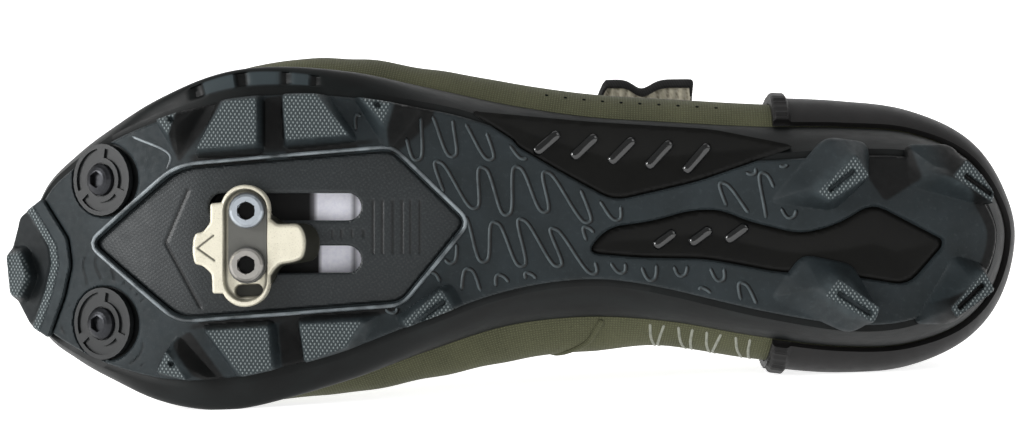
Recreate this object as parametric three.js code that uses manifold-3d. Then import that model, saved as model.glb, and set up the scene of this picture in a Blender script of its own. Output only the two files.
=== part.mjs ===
// Left off-road cycling shoe with a two-bolt pedal cleat. Sizes in millimetres.
// The shoe is drawn standing: x runs from the heel to the toe, y to the outer side, z up.
// At the end it is laid on its inner side, with the tread facing -Y.
import * as THREE from "three";
import { mergeVertices } from "three/addons/utils/BufferGeometryUtils.js";
import { ConvexHull } from "three/addons/math/ConvexHull.js";
import Module from "manifold-3d";

const wasm = await Module();
wasm.setup();

// Driving sizes
const length = 272; // heel back to toe end of the sole
const soleWidth = 88; // across the ball at the seam with the upper
const plateHeight = 8.5; // underside of the shell over the ground at the ball
const toeSpring = 30; // rise of the underside at the toe
const archRise = 8.5; // rise of the underside at the waist
const heelRise = 3.5; // rise of the underside at the heel
const heelBevel = 9; // extra rise at the very back
const sideHeight = 12; // side wall of the shell
const instepHeight = 88; // ridge of the upper over the seam at the instep
const collarBack = 90; // top line at the heel over the ground
const collarSide = 72; // top line under the ankle
const collarFront = 104; // top line at the end of the throat
const upperWall = 2;
const cupWall = 1.6;
const shellFloor = 4.2;
const rimWidth = 4.5;
const rubber = 2.2; // rubber skin under the shell
const clearance = 0.3;
const swellHeight = 11; // height over the seam at which the upper is widest
const ridgePull = 0.75; // crowds the rows of points near the seam and the ridge
const throatWidth = 34;
const tongueThick = 3.2;
const insoleThick = 3;
const strapThick = 1.8;
const boltSpacing = 14;
const boltHead = 9.2;
const boltShank = 5;
const boltHex = 4.4;
const slotWidth = 7.2;
const slotTravel = 24; // from the bolt axis to the rear end of a slot
const cleatLong = 29;
const cleatTail = 11.6; // breadth of the front and rear tongues of the cleat
const cleatBody = 14.2; // fore and aft breadth of the oblong body
const cleatAcross = 31.8;
const cleatThick = 5;
const washerThick = 1.2;
const plugRadius = 9.6;
const studHead = 8.6;
const studHex = 4;
const hexDeep = 2; // socket of a bolt
const shellInset = 1.5; // from the rim's inner edge to the shell's floor
const rimRound = 0.5;
const skinInset = 1; // the underside's flat starts this far inside its edge
const below = -length; // cutters run from well under the shoe
const above = length; // to well over it
const weld = 1e-4; // points closer than this are one

// Plan of the last, from heel to toe. Widths and swells are shares of soleWidth.
// out and inn are the seam on the outer and inner side, the swells go beyond it.
const PLAN = [
  { along: 0.0, out: 0.03, inn: 0.03, swellOut: 0.035, swellIn: 0.035 },
  { along: 0.012, out: 0.14, inn: -0.125, swellOut: 0.04, swellIn: 0.04 },
  { along: 0.045, out: 0.265, inn: -0.245, swellOut: 0.05, swellIn: 0.05 },
  { along: 0.1, out: 0.335, inn: -0.312, swellOut: 0.06, swellIn: 0.062 },
  { along: 0.165, out: 0.352, inn: -0.322, swellOut: 0.07, swellIn: 0.07 },
  { along: 0.25, out: 0.356, inn: -0.292, swellOut: 0.078, swellIn: 0.078 },
  { along: 0.34, out: 0.371, inn: -0.246, swellOut: 0.08, swellIn: 0.085 },
  { along: 0.42, out: 0.387, inn: -0.232, swellOut: 0.08, swellIn: 0.118 },
  { along: 0.5, out: 0.423, inn: -0.259, swellOut: 0.078, swellIn: 0.12 },
  { along: 0.58, out: 0.473, inn: -0.335, swellOut: 0.068, swellIn: 0.095 },
  { along: 0.65, out: 0.512, inn: -0.41, swellOut: 0.06, swellIn: 0.06 },
  { along: 0.71, out: 0.519, inn: -0.456, swellOut: 0.05, swellIn: 0.03 },
  { along: 0.77, out: 0.499, inn: -0.488, swellOut: 0.034, swellIn: 0.015 },
  { along: 0.83, out: 0.443, inn: -0.481, swellOut: 0.02, swellIn: 0.012 },
  { along: 0.885, out: 0.368, inn: -0.436, swellOut: 0.012, swellIn: 0.008 },
  { along: 0.935, out: 0.275, inn: -0.372, swellOut: 0.006, swellIn: 0.006 },
  { along: 0.975, out: 0.165, inn: -0.29, swellOut: 0.002, swellIn: 0.002 },
  { along: 1.0, out: -0.07, inn: -0.07, swellOut: 0.0, swellIn: 0.0 },
];

// Side profile. toe, arch, heel and bevel are shares of the four rises, side of
// sideHeight, ridge of instepHeight. square is the power of the section's curve.
const PROFILE = [
  { along: 0.0, toe: 0, arch: 0, heel: 1, bevel: 1, side: 0.78, ridge: 1.15, square: 3.2 },
  { along: 0.03, toe: 0, arch: 0, heel: 1, bevel: 0.36, side: 1.0, ridge: 1.15, square: 3.2 },
  { along: 0.075, toe: 0, arch: 0, heel: 1, bevel: 0.03, side: 1.2, ridge: 1.15, square: 3.2 },
  { along: 0.16, toe: 0, arch: 0.03, heel: 1, bevel: 0, side: 1.18, ridge: 1.14, square: 3.1 },
  { along: 0.25, toe: 0, arch: 0.45, heel: 0.8, bevel: 0, side: 0.98, ridge: 1.11, square: 3.0 },
  { along: 0.34, toe: 0, arch: 0.92, heel: 0.35, bevel: 0, side: 0.88, ridge: 1.05, square: 2.7 },
  { along: 0.42, toe: 0, arch: 1.0, heel: 0.05, bevel: 0, side: 0.88, ridge: 0.98, square: 2.4 },
  { along: 0.5, toe: 0, arch: 0.78, heel: 0, bevel: 0, side: 0.92, ridge: 0.84, square: 2.3 },
  { along: 0.58, toe: 0, arch: 0.34, heel: 0, bevel: 0, side: 0.92, ridge: 0.72, square: 2.25 },
  { along: 0.66, toe: 0, arch: 0.05, heel: 0, bevel: 0, side: 0.86, ridge: 0.645, square: 2.2 },
  { along: 0.74, toe: 0, arch: 0, heel: 0, bevel: 0, side: 0.84, ridge: 0.595, square: 2.2 },
  { along: 0.79, toe: 0.035, arch: 0, heel: 0, bevel: 0, side: 0.86, ridge: 0.56, square: 2.2 },
  { along: 0.84, toe: 0.15, arch: 0, heel: 0, bevel: 0, side: 0.9, ridge: 0.5, square: 2.2 },
  { along: 0.89, toe: 0.345, arch: 0, heel: 0, bevel: 0, side: 0.92, ridge: 0.41, square: 2.2 },
  { along: 0.945, toe: 0.65, arch: 0, heel: 0, bevel: 0, side: 0.86, ridge: 0.3, square: 2.2 },
  { along: 1.0, toe: 1, arch: 0, heel: 0, bevel: 0, side: 0.78, ridge: 0.24, square: 2.2 },
];
const heelPole = 0.2; // the ridge starts here, and the sections fan round it to the heel
const toePole = 0.935; // and ends here, where they fan round to the toe

// Smooth curve through one column of a table that never overshoots its rows.
function column(table, name) {
  const x = table.map((row) => row.along);
  const y = table.map((row) => row[name]);
  const rise = x.slice(1).map((next, i) => (y[i + 1] - y[i]) / (next - x[i]));
  const slope = y.map((_, i) => {
    if (i === 0) return rise[0];
    if (i === y.length - 1) return rise[i - 1];
    return rise[i - 1] * rise[i] <= 0 ? 0 : (2 * rise[i - 1] * rise[i]) / (rise[i - 1] + rise[i]);
  });
  return (at) => {
    const t = Math.min(Math.max(at, x[0]), x[x.length - 1]);
    let i = 0;
    while (i < x.length - 2 && t > x[i + 1]) i += 1;
    const h = x[i + 1] - x[i];
    const s = (t - x[i]) / h;
    const a = (1 + 2 * s) * (1 - s) ** 2 * y[i] + s * s * (3 - 2 * s) * y[i + 1];
    return a + h * (s * (1 - s) ** 2 * slope[i] - s * s * (1 - s) * slope[i + 1]);
  };
}
const toeAt = column(PROFILE, "toe");
const archAt = column(PROFILE, "arch");
const heelAt = column(PROFILE, "heel");
const bevelAt = column(PROFILE, "bevel");
const sideAt = column(PROFILE, "side");
const ridgeAt = column(PROFILE, "ridge");
const squareAt = column(PROFILE, "square");
const swellOutAt = column(PLAN, "swellOut");
const swellInAt = column(PLAN, "swellIn");

// Height of the shell's underside and of the seam with the upper, at a distance from the heel.
function undersideAt(x) {
  const a = x / length;
  const ends = toeSpring * toeAt(a) + heelRise * heelAt(a) + heelBevel * bevelAt(a);
  return plateHeight + archRise * archAt(a) + ends;
}
function seamAt(x) {
  return undersideAt(x) + sideHeight * sideAt(x / length);
}

// Closed outline of the seam as two halves, heel to toe, each a smooth curve through the plan.
function halfOutline(side) {
  const other = side === "out" ? "inn" : "out";
  const row = (r, key) => new THREE.Vector3(r.along * length, r[key] * soleWidth, 0);
  const inner = PLAN.slice(1, -1).map((r) => row(r, side));
  const before = [2, 1].map((i) => row(PLAN[i], other));
  const after = [2, 3].map((i) => row(PLAN[PLAN.length - i], other));
  const ends = [row(PLAN[0], side), row(PLAN[PLAN.length - 1], side)];
  const all = [...before, ends[0], ...inner, ends[1], ...after];
  const curve = new THREE.CatmullRomCurve3(all, false, "centripetal");
  const dense = curve.getPoints(all.length * 24);
  const nearer = (p) => (best, q, i) => (q.distanceTo(p) < dense[best].distanceTo(p) ? i : best);
  const near = (p) => dense.reduce(nearer(p), 0);
  return new THREE.CatmullRomCurve3(dense.slice(near(ends[0]), near(ends[1]) + 1), false, "centripetal");
}
const halves = { out: halfOutline("out"), inn: halfOutline("inn") };
Object.values(halves).forEach((curve) => {
  curve.arcLengthDivisions = 600;
});
const stations = 26; // from heel to toe on each side

// Seam point and outward direction at a share of the way round the seam: 0 is the heel,
// 0.5 the toe, reached along the outer side.
const heelEnd = halves.out.getPointAt(0);
const toeEnd = halves.out.getPointAt(1);
function seamPlan(side, t) {
  const sign = side === "out" ? 1 : -1;
  const p = halves[side].getPointAt(t);
  const along = halves[side].getTangentAt(t);
  const outward = new THREE.Vector3(-along.y * sign, along.x * sign, 0).normalize();
  if (t === 0) {
    p.copy(heelEnd);
    outward.set(-1, 0, 0);
  }
  if (t === 1) {
    p.copy(toeEnd);
    outward.set(1, 0, 0);
  }
  return { p, outward };
}
const centre = Array.from({ length: 4 * stations + 1 }, (_, i) => {
  const t = i / (4 * stations);
  return seamPlan("out", t).p.add(seamPlan("inn", t).p).multiplyScalar(0.5);
});
function centreAt(x) {
  const i = Math.max(1, centre.findIndex((c) => c.x >= x));
  const f = (x - centre[i - 1].x) / (centre[i].x - centre[i - 1].x);
  return THREE.MathUtils.lerp(centre[i - 1].y, centre[i].y, f);
}
// Seam point, outward direction, spine point and swell of one place round the seam.
const known = new Map();
function placeAt(share) {
  const q = (share + 2) % 1;
  if (known.has(q)) return known.get(q);
  const side = q <= 0.5 ? "out" : "inn";
  const t = q <= 0.5 ? 2 * q : 2 * (1 - q);
  const { p, outward } = seamPlan(side, t);
  const m = seamPlan("out", t).p.add(seamPlan("inn", t).p).multiplyScalar(0.5);
  const x = THREE.MathUtils.clamp(m.x, heelPole * length, toePole * length);
  const swell = (side === "out" ? swellOutAt(p.x / length) : swellInAt(p.x / length)) * soleWidth;
  const seam = new THREE.Vector3(p.x, p.y, seamAt(p.x));
  const place = { seam, outward, spine: new THREE.Vector2(x, centreAt(x)), swell, side };
  known.set(q, place);
  return place;
}
const shares = Array.from({ length: 2 * stations }, (_, i) => i / (2 * stations));
const rim = shares.map(placeAt);
// Share of the way round at which the seam passes a distance from the heel.
function shareAt(side, x) {
  let low = 0;
  let high = 1;
  for (let i = 0; i < 24; i += 1) {
    const mid = (low + high) / 2;
    if (seamPlan(side, mid).p.x < x) low = mid;
    else high = mid;
  }
  return side === "out" ? low / 2 : 1 - low / 2;
}

// Point of the upper's outer face. s runs from the seam, 0, to the ridge, 1.
function faceOfUpper(place, s) {
  const { seam, outward, spine, swell } = place;
  const top = seamAt(spine.x) + instepHeight * ridgeAt(spine.x / length);
  const square = squareAt(seam.x / length);
  const angle = (s ** (ridgePull * square) * Math.PI) / 2;
  const inward = 1 - Math.cos(angle) ** (2 / square);
  const rise = Math.sin(angle) ** (2 / square) * (top - seam.z);
  const h = rise / swellHeight;
  const bulge = swell * h * Math.exp(1 - h) * (1 - s ** 4);
  const x = seam.x + (spine.x - seam.x) * inward + outward.x * bulge;
  const y = seam.y + (spine.y - seam.y) * inward + outward.y * bulge;
  return new THREE.Vector3(x, y, seam.z + rise);
}
// The same point moved out along the face's normal by lift.
function upperPoint(share, s, lift) {
  const place = placeAt(share);
  const p = faceOfUpper(place, s);
  if (lift === 0) return p;
  if (s > 0.999) {
    const e = 1;
    const height = (x) => seamAt(x) + instepHeight * ridgeAt(x / length);
    const slope = (height(place.spine.x + e) - height(place.spine.x - e)) / (2 * e);
    return p.add(new THREE.Vector3(-slope, 0, 1).normalize().multiplyScalar(lift));
  }
  const ds = 0.02;
  const dq = 0.004;
  const over = faceOfUpper(place, Math.min(s + ds, 0.995));
  const across = over.sub(faceOfUpper(place, Math.max(s - ds, 0.02)));
  const along = faceOfUpper(placeAt(share + dq), s).sub(faceOfUpper(placeAt(share - dq), s));
  if (along.length() < 1e-2) along.set(-place.outward.y, place.outward.x, 0);
  const normal = across.cross(along).normalize();
  if (normal.dot(place.outward) + normal.z * 0.5 < 0) normal.negate();
  return p.addScaledVector(normal, lift);
}

// Triangles from grids of points. Equal points are merged and flat triangles dropped.
function addTriangle(list, a, b, c) {
  if (a.distanceTo(b) < weld || b.distanceTo(c) < weld || c.distanceTo(a) < weld) return;
  list.push(a.x, a.y, a.z, b.x, b.y, b.z, c.x, c.y, c.z);
}
function addGrid(list, rows, closed) {
  const n = closed ? rows.length : rows.length - 1;
  for (let i = 0; i < n; i += 1) {
    const a = rows[i];
    const b = rows[(i + 1) % rows.length];
    for (let j = 0; j < a.length - 1; j += 1) {
      addTriangle(list, a[j], b[j], b[j + 1]);
      addTriangle(list, a[j], b[j + 1], a[j + 1]);
    }
  }
}
function geometryOf(list) {
  let g = new THREE.BufferGeometry();
  g.setAttribute("position", new THREE.Float32BufferAttribute(list, 3));
  g = mergeVertices(g, 10 * weld);
  const p = g.attributes.position;
  const index = g.index.array;
  let volume = 0;
  const corner = [0, 1, 2].map(() => new THREE.Vector3());
  for (let i = 0; i < index.length; i += 3) {
    corner.forEach((v, q) => v.fromBufferAttribute(p, index[i + q]));
    volume += corner[0].dot(corner[1].clone().cross(corner[2]));
  }
  if (volume < 0) {
    for (let i = 0; i < index.length; i += 3) [index[i + 1], index[i + 2]] = [index[i + 2], index[i + 1]];
  }
  return g;
}

// Manifold solids and back.
function solid(geometry) {
  let g = geometry.index ? geometry.clone() : mergeVertices(geometry, weld);
  g.deleteAttribute("normal");
  g.deleteAttribute("uv");
  g = mergeVertices(g, weld);
  const vertProperties = new Float32Array(g.attributes.position.array);
  const triVerts = new Uint32Array(g.index.array);
  return new wasm.Manifold(new wasm.Mesh({ numProp: 3, vertProperties, triVerts }));
}
function geometryFrom(manifold) {
  const m = manifold.getMesh();
  const g = new THREE.BufferGeometry();
  g.setAttribute("position", new THREE.BufferAttribute(new Float32Array(m.vertProperties), 3));
  g.setIndex(new THREE.BufferAttribute(new Uint32Array(m.triVerts), 1));
  return g;
}
// Prism between two polygons of as many corners, given as Vector3 rings.
function prism(lower, upper) {
  const list = [];
  const n = lower.length;
  const rows = [];
  for (let i = 0; i < n; i += 1) rows.push([lower[i], upper[i]]);
  addGrid(list, rows, true);
  const cap = (ring) => {
    const flat = ring.map((p) => new THREE.Vector2(p.x, p.y));
    THREE.ShapeUtils.triangulateShape(flat, []).forEach(([a, b, c]) => {
      const turned = ring === lower ? [a, c, b] : [a, b, c];
      addTriangle(list, ...turned.map((i) => ring[i]));
    });
  };
  cap(lower);
  cap(upper);
  return geometryOf(list);
}
// Rounded corners for a closed outline in the ground plan.
function rounded(points, radius, steps = 3) {
  const out = [];
  points.forEach((p, i) => {
    const a = points[(i + points.length - 1) % points.length];
    const b = points[(i + 1) % points.length];
    const back = a.clone().sub(p);
    const front = b.clone().sub(p);
    const cut = Math.min(radius, back.length() * 0.45, front.length() * 0.45);
    const start = p.clone().addScaledVector(back.normalize(), cut);
    const end = p.clone().addScaledVector(front.normalize(), cut);
    const bend = new THREE.QuadraticBezierCurve(start, p, end);
    bend.getPoints(steps).forEach((q) => out.push(q));
  });
  return out;
}
// Corners given as shares of length and of half the sole's width.
function plan(corners) {
  return corners.map(([a, b]) => new THREE.Vector2(a * length, (b * soleWidth) / 2));
}
function ccw(points) {
  return THREE.ShapeUtils.isClockWise(points) ? points.slice().reverse() : points;
}
const ring = (points, z) => {
  return points.map((p) => new THREE.Vector3(p.x, p.y, typeof z === "function" ? z(p) : z));
};
function window2d(corners, radius, low, high) {
  const outline = rounded(ccw(plan(corners)), radius);
  return solid(prism(ring(outline, low), ring(outline, high)));
}
const slotSteps = 8;
function slotOutline(x0, x1, y, width) {
  const end = (x, turn) => Array.from({ length: slotSteps + 1 }, (_, i) => {
    const a = turn + (i * Math.PI) / slotSteps;
    return new THREE.Vector2(x + (width / 2) * Math.cos(a), y + (width / 2) * Math.sin(a));
  });
  return [...end(x1, -Math.PI / 2), ...end(x0, Math.PI / 2)];
}
function cylinder(radius, x, y, low, high, sides = 24) {
  const g = new THREE.CylinderGeometry(radius, radius, high - low, sides);
  g.rotateX(Math.PI / 2);
  g.translate(x, y, (low + high) / 2);
  return g;
}

const parts = [];
function part(name, geometry, color, roughness, metalness = 0) {
  const mesh = new THREE.Mesh(geometry, new THREE.MeshStandardMaterial({ color, roughness, metalness }));
  mesh.name = name;
  parts.push(mesh);
  return mesh;
}

// Point on the sole's rim, moved inwards by inset.
function rimPoint(place, inset, z) {
  return new THREE.Vector3(place.seam.x - place.outward.x * inset, place.seam.y - place.outward.y * inset, z);
}
// How far the underside's edge lies inside the seam, and how far the side wall stands
// out beyond it, as shares of soleWidth. hold is the power that keeps the wall upright.
const UNDER = [
  { along: 0.0, out: 0.05, inn: 0.05, proud: 0, hold: 1.6 },
  { along: 0.06, out: 0.06, inn: 0.07, proud: 0, hold: 1.6 },
  { along: 0.16, out: 0.07, inn: 0.055, proud: 0, hold: 1.6 },
  { along: 0.3, out: 0.095, inn: 0.07, proud: 0, hold: 1.6 },
  { along: 0.42, out: 0.095, inn: 0.1, proud: 0, hold: 1.5 },
  { along: 0.55, out: 0.05, inn: 0.08, proud: 0, hold: 1.8 },
  { along: 0.66, out: 0.06, inn: 0.07, proud: 0.004, hold: 5 },
  { along: 0.77, out: 0.055, inn: 0.065, proud: 0.015, hold: 14 },
  { along: 0.84, out: 0.045, inn: 0.05, proud: 0.008, hold: 7 },
  { along: 0.9, out: 0.03, inn: 0.035, proud: 0.002, hold: 2.5 },
  { along: 1.0, out: 0.02, inn: 0.02, proud: 0, hold: 1.6 },
];
const wallLow = 0.6; // below 1, the wall stands out most below its middle
const proudAt = column(UNDER, "proud");
const holdAt = column(UNDER, "hold");
const underAt = { out: column(UNDER, "out"), inn: column(UNDER, "inn") };

// The shell: a shallow cup with a raised rim, a curved side wall and a flat underside.
function spinePoint(place, z) {
  return new THREE.Vector3(place.spine.x, place.spine.y, z);
}
function towards(place, f, inset, z) {
  const edge = rimPoint(place, inset, 0);
  return new THREE.Vector3(
    THREE.MathUtils.lerp(edge.x, place.spine.x, f),
    THREE.MathUtils.lerp(edge.y, place.spine.y, f),
    z,
  );
}
const ACROSS = [1, 0.78, 0.57, 0.38, 0.21, 0.07, 0];
const COARSE = [1, 0.57, 0.21, 0];
function shellRows() {
  return rim.map((place) => {
    const { x } = place.seam;
    const under = underAt[place.side](x / length) * soleWidth;
    const low = undersideAt(x);
    const high = place.seam.z - clearance;
    const floorAt = (p) => Math.min(undersideAt(p.x) + shellFloor, seamAt(p.x) - 2 * clearance);
    const at = (f, inset, height) => {
      const p = towards(place, f, inset, 0);
      p.z = height(p);
      return p;
    };
    const wall = (t) => {
      const swollen = proudAt(x / length) * soleWidth * Math.sin(Math.PI * t ** wallLow);
      const inset = under * (1 - t) ** holdAt(x / length) - swollen;
      return rimPoint(place, inset, THREE.MathUtils.lerp(low, high, t));
    };
    return [
      ...ACROSS.map((f) => at(f, rimWidth + shellInset, floorAt)),
      rimPoint(place, rimWidth, high - rimRound),
      rimPoint(place, rimWidth - rimRound, high),
      rimPoint(place, rimRound, high),
      rimPoint(place, 0, high - rimRound),
      ...[0.75, 0.5, 0.3, 0.15, 0.05].map(wall),
      ...ACROSS.map((f) => at(f, under + skinInset, (p) => undersideAt(p.x))).reverse(),
    ];
  });
}
function rimSolid(rows) {
  const list = [];
  addGrid(list, rows, true);
  return solid(geometryOf(list));
}
const boltX = 0.7485 * length;
const boltY = 0.03 * (soleWidth / 2);
const slotEnd = boltX - slotTravel;
const slotStart = boltX + slotWidth;
const boltYs = { outer: boltY + boltSpacing / 2, inner: boltY - boltSpacing / 2 };
let shell = rimSolid(shellRows());
Object.values(boltYs).forEach((y) => {
  const outline = slotOutline(slotEnd, slotStart, y, slotWidth);
  shell = shell.subtract(solid(prism(ring(outline, 0), ring(outline, above))));
});
// Notches of the ladder along the outer side wall.
const LADDER = [0.775, 0.7325, 0.69];
const notchLong = 3.2;
const notchDeep = 3;
LADDER.forEach((a) => {
  const x = a * length;
  const { y } = placeAt(shareAt("out", x)).seam;
  const notch = new THREE.BoxGeometry(notchLong, 2 * notchDeep, sideHeight * 0.42);
  notch.translate(x, y, undersideAt(x) + sideHeight * 0.36);
  shell = shell.subtract(solid(notch));
});

// Rubber skin that follows the underside, with windows over the shell.
const PLATE = [
  [0.909, -0.02], [0.826, 0.404], [0.809, 0.446], [0.612, 0.55], [0.541, 0.11], [0.603, -0.36],
  [0.811, -0.445], [0.826, -0.41],
];
const OUTER_PANEL = [[0.545, 0.815], [0.4, 0.25], [0.345, 0.33], [0.215, 0.585], [0.3, 0.69], [0.42, 0.74]];
const INNER_PANEL = [
  [0.424, -0.065], [0.402, 0.09], [0.358, 0.129], [0.305, 0.195], [0.255, 0.1], [0.2, 0.06], [0.146, 0.225],
  [0.08, 0.03], [0.08, -0.03], [0.12, -0.29], [0.2, -0.22], [0.3, -0.1],
];
function skinRows() {
  return rim.map((place) => {
    const { x } = place.seam;
    const under = underAt[place.side](x / length) * soleWidth;
    const top = (p) => undersideAt(p.x) + skinInset; // cut away by the shell's room
    const low = (p) => undersideAt(p.x) - clearance - rubber;
    const at = (f, inset, height) => {
      const p = towards(place, f, inset, 0);
      p.z = height(p);
      return p;
    };
    return [
      ...COARSE.map((f) => at(f, under + skinInset, top)),
      at(0, under + skinInset, (p) => low(p) + rubber * 0.4),
      ...COARSE.map((f) => at(f, under + skinInset + rubber * 0.4, low)).reverse(),
    ];
  });
}
let outsole = rimSolid(skinRows());

// Lugs: a tread face near the ground and a wider foot in the rubber skin, both as
// corners in shares of length and half width. drop is the height of the lug.
const LUGS = [
  {
    name: "outer_front", drop: 5.2,
    face: [[0.839, 0.75], [0.812, 0.848], [0.824, 0.638]],
    foot: [[0.844, 0.76], [0.782, 0.88], [0.818, 0.5]],
  },
  {
    name: "outer_second", drop: 6.2,
    face: [[0.769, 0.833], [0.738, 0.851], [0.738, 0.581], [0.797, 0.549]],
    foot: [[0.776, 0.88], [0.733, 0.895], [0.733, 0.52], [0.802, 0.5]],
  },
  {
    name: "outer_third", drop: 6.2,
    face: [[0.713, 0.869], [0.682, 0.883], [0.65, 0.634], [0.71, 0.604]],
    foot: [[0.718, 0.9], [0.676, 0.915], [0.642, 0.6], [0.714, 0.545]],
  },
  {
    name: "outer_fourth", drop: 6,
    face: [[0.648, 0.915], [0.61, 0.839], [0.618, 0.704]],
    foot: [[0.655, 0.935], [0.572, 0.87], [0.616, 0.53]],
  },
  {
    name: "inner_front", drop: 5.2,
    face: [[0.827, -0.635], [0.805, -0.812], [0.836, -0.765]],
    foot: [[0.818, -0.54], [0.77, -0.86], [0.842, -0.79]],
  },
  {
    name: "inner_second", drop: 6.2,
    face: [[0.787, -0.514], [0.727, -0.49], [0.723, -0.74], [0.752, -0.781]],
    foot: [[0.796, -0.49], [0.722, -0.455], [0.717, -0.77], [0.755, -0.83]],
  },
  {
    name: "inner_third", drop: 6.2,
    face: [[0.697, -0.476], [0.638, -0.458], [0.653, -0.611], [0.692, -0.699]],
    foot: [[0.702, -0.44], [0.618, -0.41], [0.645, -0.66], [0.694, -0.74]],
  },
  {
    name: "inner_fourth", drop: 6,
    face: [[0.563, -0.273], [0.552, -0.39], [0.589, -0.538], [0.6, -0.464]],
    foot: [[0.555, -0.23], [0.54, -0.385], [0.588, -0.58], [0.61, -0.45]],
  },
  {
    name: "heel_outer_front", drop: 9,
    face: [[0.169, 0.516], [0.156, 0.393], [0.193, 0.249], [0.205, 0.301]],
    foot: [[0.192, 0.636], [0.15, 0.6], [0.15, 0.397], [0.184, 0.19], [0.246, 0.24]],
  },
  {
    name: "heel_outer_back", drop: 9,
    face: [[0.064, 0.493], [0.028, 0.299], [0.036, 0.229], [0.078, 0.393]],
    foot: [[0.116, 0.59], [0.07, 0.59], [0.034, 0.29], [0.039, 0.224], [0.111, 0.33]],
  },
  {
    name: "heel_inner_front", drop: 9,
    face: [[0.185, -0.212], [0.198, -0.311], [0.152, -0.47], [0.146, -0.382]],
    foot: [[0.213, -0.07], [0.245, -0.337], [0.169, -0.55], [0.14, -0.45], [0.165, -0.13]],
  },
  {
    name: "heel_inner_back", drop: 9,
    face: [[0.046, -0.165], [0.034, -0.282], [0.074, -0.44], [0.08, -0.382]],
    foot: [[0.068, -0.07], [0.034, -0.14], [0.034, -0.29], [0.068, -0.49], [0.108, -0.49]],
  },
];
function centroid(points) {
  return points.reduce((sum, p) => sum.add(p), new THREE.Vector2()).divideScalar(points.length);
}
const probe = 4; // half the stretch over which a slope is taken
function lug({ drop, face, foot }) {
  const tread = ccw(plan(face));
  const base = ccw(plan(foot));
  const c = centroid(tread);
  const skin = undersideAt(c.x) - clearance - rubber;
  const level = Math.max(skin - drop, 0);
  const slope = (undersideAt(c.x + probe) - undersideAt(c.x - probe)) / (2 * probe);
  const treadRing = ring(tread, (p) => Math.max(level + slope * (p.x - c.x), 0));
  const baseRing = ring(base, (p) => undersideAt(p.x) - clearance - rubber * 0.55);
  return hullSolid([...treadRing, ...baseRing]);
}
// The lug's flanks are planes, so its solid is the hull of its two outlines.
function hullSolid(points) {
  const hull = new ConvexHull().setFromPoints(points);
  const list = [];
  hull.faces.forEach((f) => {
    const corners = [];
    let edge = f.edge;
    do {
      corners.push(edge.head().point);
      edge = edge.next;
    } while (edge !== f.edge);
    for (let i = 1; i < corners.length - 1; i += 1) addTriangle(list, corners[0], corners[i], corners[i + 1]);
  });
  return solid(geometryOf(list));
}
LUGS.forEach((row) => {
  outsole = outsole.add(lug(row));
});
// Room for the shell: everything above its underside.
const roomMargin = 3;
const roomRows = rim.map((place) => {
  const under = underAt[place.side](place.seam.x / length) * soleWidth;
  const base = (f, inset) => {
    const p = towards(place, f, inset, 0);
    p.z = undersideAt(THREE.MathUtils.clamp(p.x, 0, length)) - clearance;
    return p;
  };
  const roof = (f) => towards(place, f, -roomMargin, above);
  const underside = ACROSS.map((f) => base(f, under + skinInset)).reverse();
  return [...COARSE.map(roof), base(0, -roomMargin), ...underside];
});
const room = rimSolid(roomRows);
outsole = outsole.subtract(room);
[
  [PLATE, 2], [OUTER_PANEL, 3], [INNER_PANEL, 3],
].forEach(([corners, radius]) => {
  outsole = outsole.subtract(window2d(corners, radius, below, above));
});
LUGS.filter((row) => row.name.startsWith("heel")).forEach((row) => {
  outsole = outsole.add(lug(row).subtract(room));
});

// Toe bumper: a chevron across the toe with one lug, below the skin's level.
const BUMPER = [
  [0.997, 0.15], [0.968, 0.27], [0.938, 0.02], [0.934, -0.14], [0.942, -0.335], [0.96, -0.6], [0.984, -0.52],
  [1.004, -0.33], [1.007, -0.09],
];
const bumperDrop = 3.4;
const bumperReach = 20; // half its breadth, to widen its outline by a clearance
const toeLugFlare = 1.35; // foot over face
const toeLug = {
  drop: 8.5,
  face: [[1.004, -0.09], [0.99, -0.08], [0.982, -0.214], [0.991, -0.332], [1.0, -0.323]],
};
const bumperOutline = ccw(plan(BUMPER));
const skinLow = (p) => undersideAt(p.x) - clearance - rubber;
const shellLow = (p) => undersideAt(Math.min(p.x, length)) - clearance;
const bumperLow = (p) => skinLow(p) - bumperDrop + rubber;
let bumper = solid(prism(ring(bumperOutline, bumperLow), ring(bumperOutline, shellLow)));
const toeFace = ccw(plan(toeLug.face));
const toeMiddle = centroid(toeFace);
const toeFoot = toeFace.map((p) => p.clone().sub(toeMiddle).multiplyScalar(toeLugFlare).add(toeMiddle));
bumper = bumper.add(hullSolid([
  ...ring(toeFace, (p) => skinLow(p) + rubber - toeLug.drop),
  ...ring(toeFoot, (p) => skinLow(p)),
]));
const around = rounded(bumperOutline, 0.1, 1).map((p) => {
  const c = centroid(bumperOutline);
  return p.clone().sub(c).multiplyScalar(1 + (2 * clearance) / bumperReach).add(c);
});
outsole = outsole.subtract(solid(prism(ring(around, below), ring(around, above))));

// Round stud plugs in the toe pads: seats in the rubber, plug and domed screw.
const plugSides = 28;
const plugThick = rubber * 0.75;
const plugTop = -1.6 * clearance;
const wellFloor = 1.1; // the screw's well ends this far under the plug's back
const seatTop = 8;
const arcFloor = 0.9;
const domeRise = 0.42; // of its radius
const domeEdge = 0.6; // straight edge under the dome
const arcSteps = 10;
const boltSides = 20;
const arcGap = 0.16; // half the angle between two arcs of the plug's insert
const STUDS = [
  { name: "outer", along: 0.896, across: 0.379 },
  { name: "inner", along: 0.895, across: -0.494 },
];
function socket(width, depth, z) {
  const g = cylinder(width / Math.sqrt(3), 0, 0, z - 1, z + depth, 6);
  return solid(g);
}
function tilted(x, y) {
  const slope = (undersideAt(x + probe) - undersideAt(x - probe)) / (2 * probe);
  const m = new THREE.Matrix4().makeRotationY(-Math.atan(slope));
  m.setPosition(x, y, undersideAt(x));
  return m;
}
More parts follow.
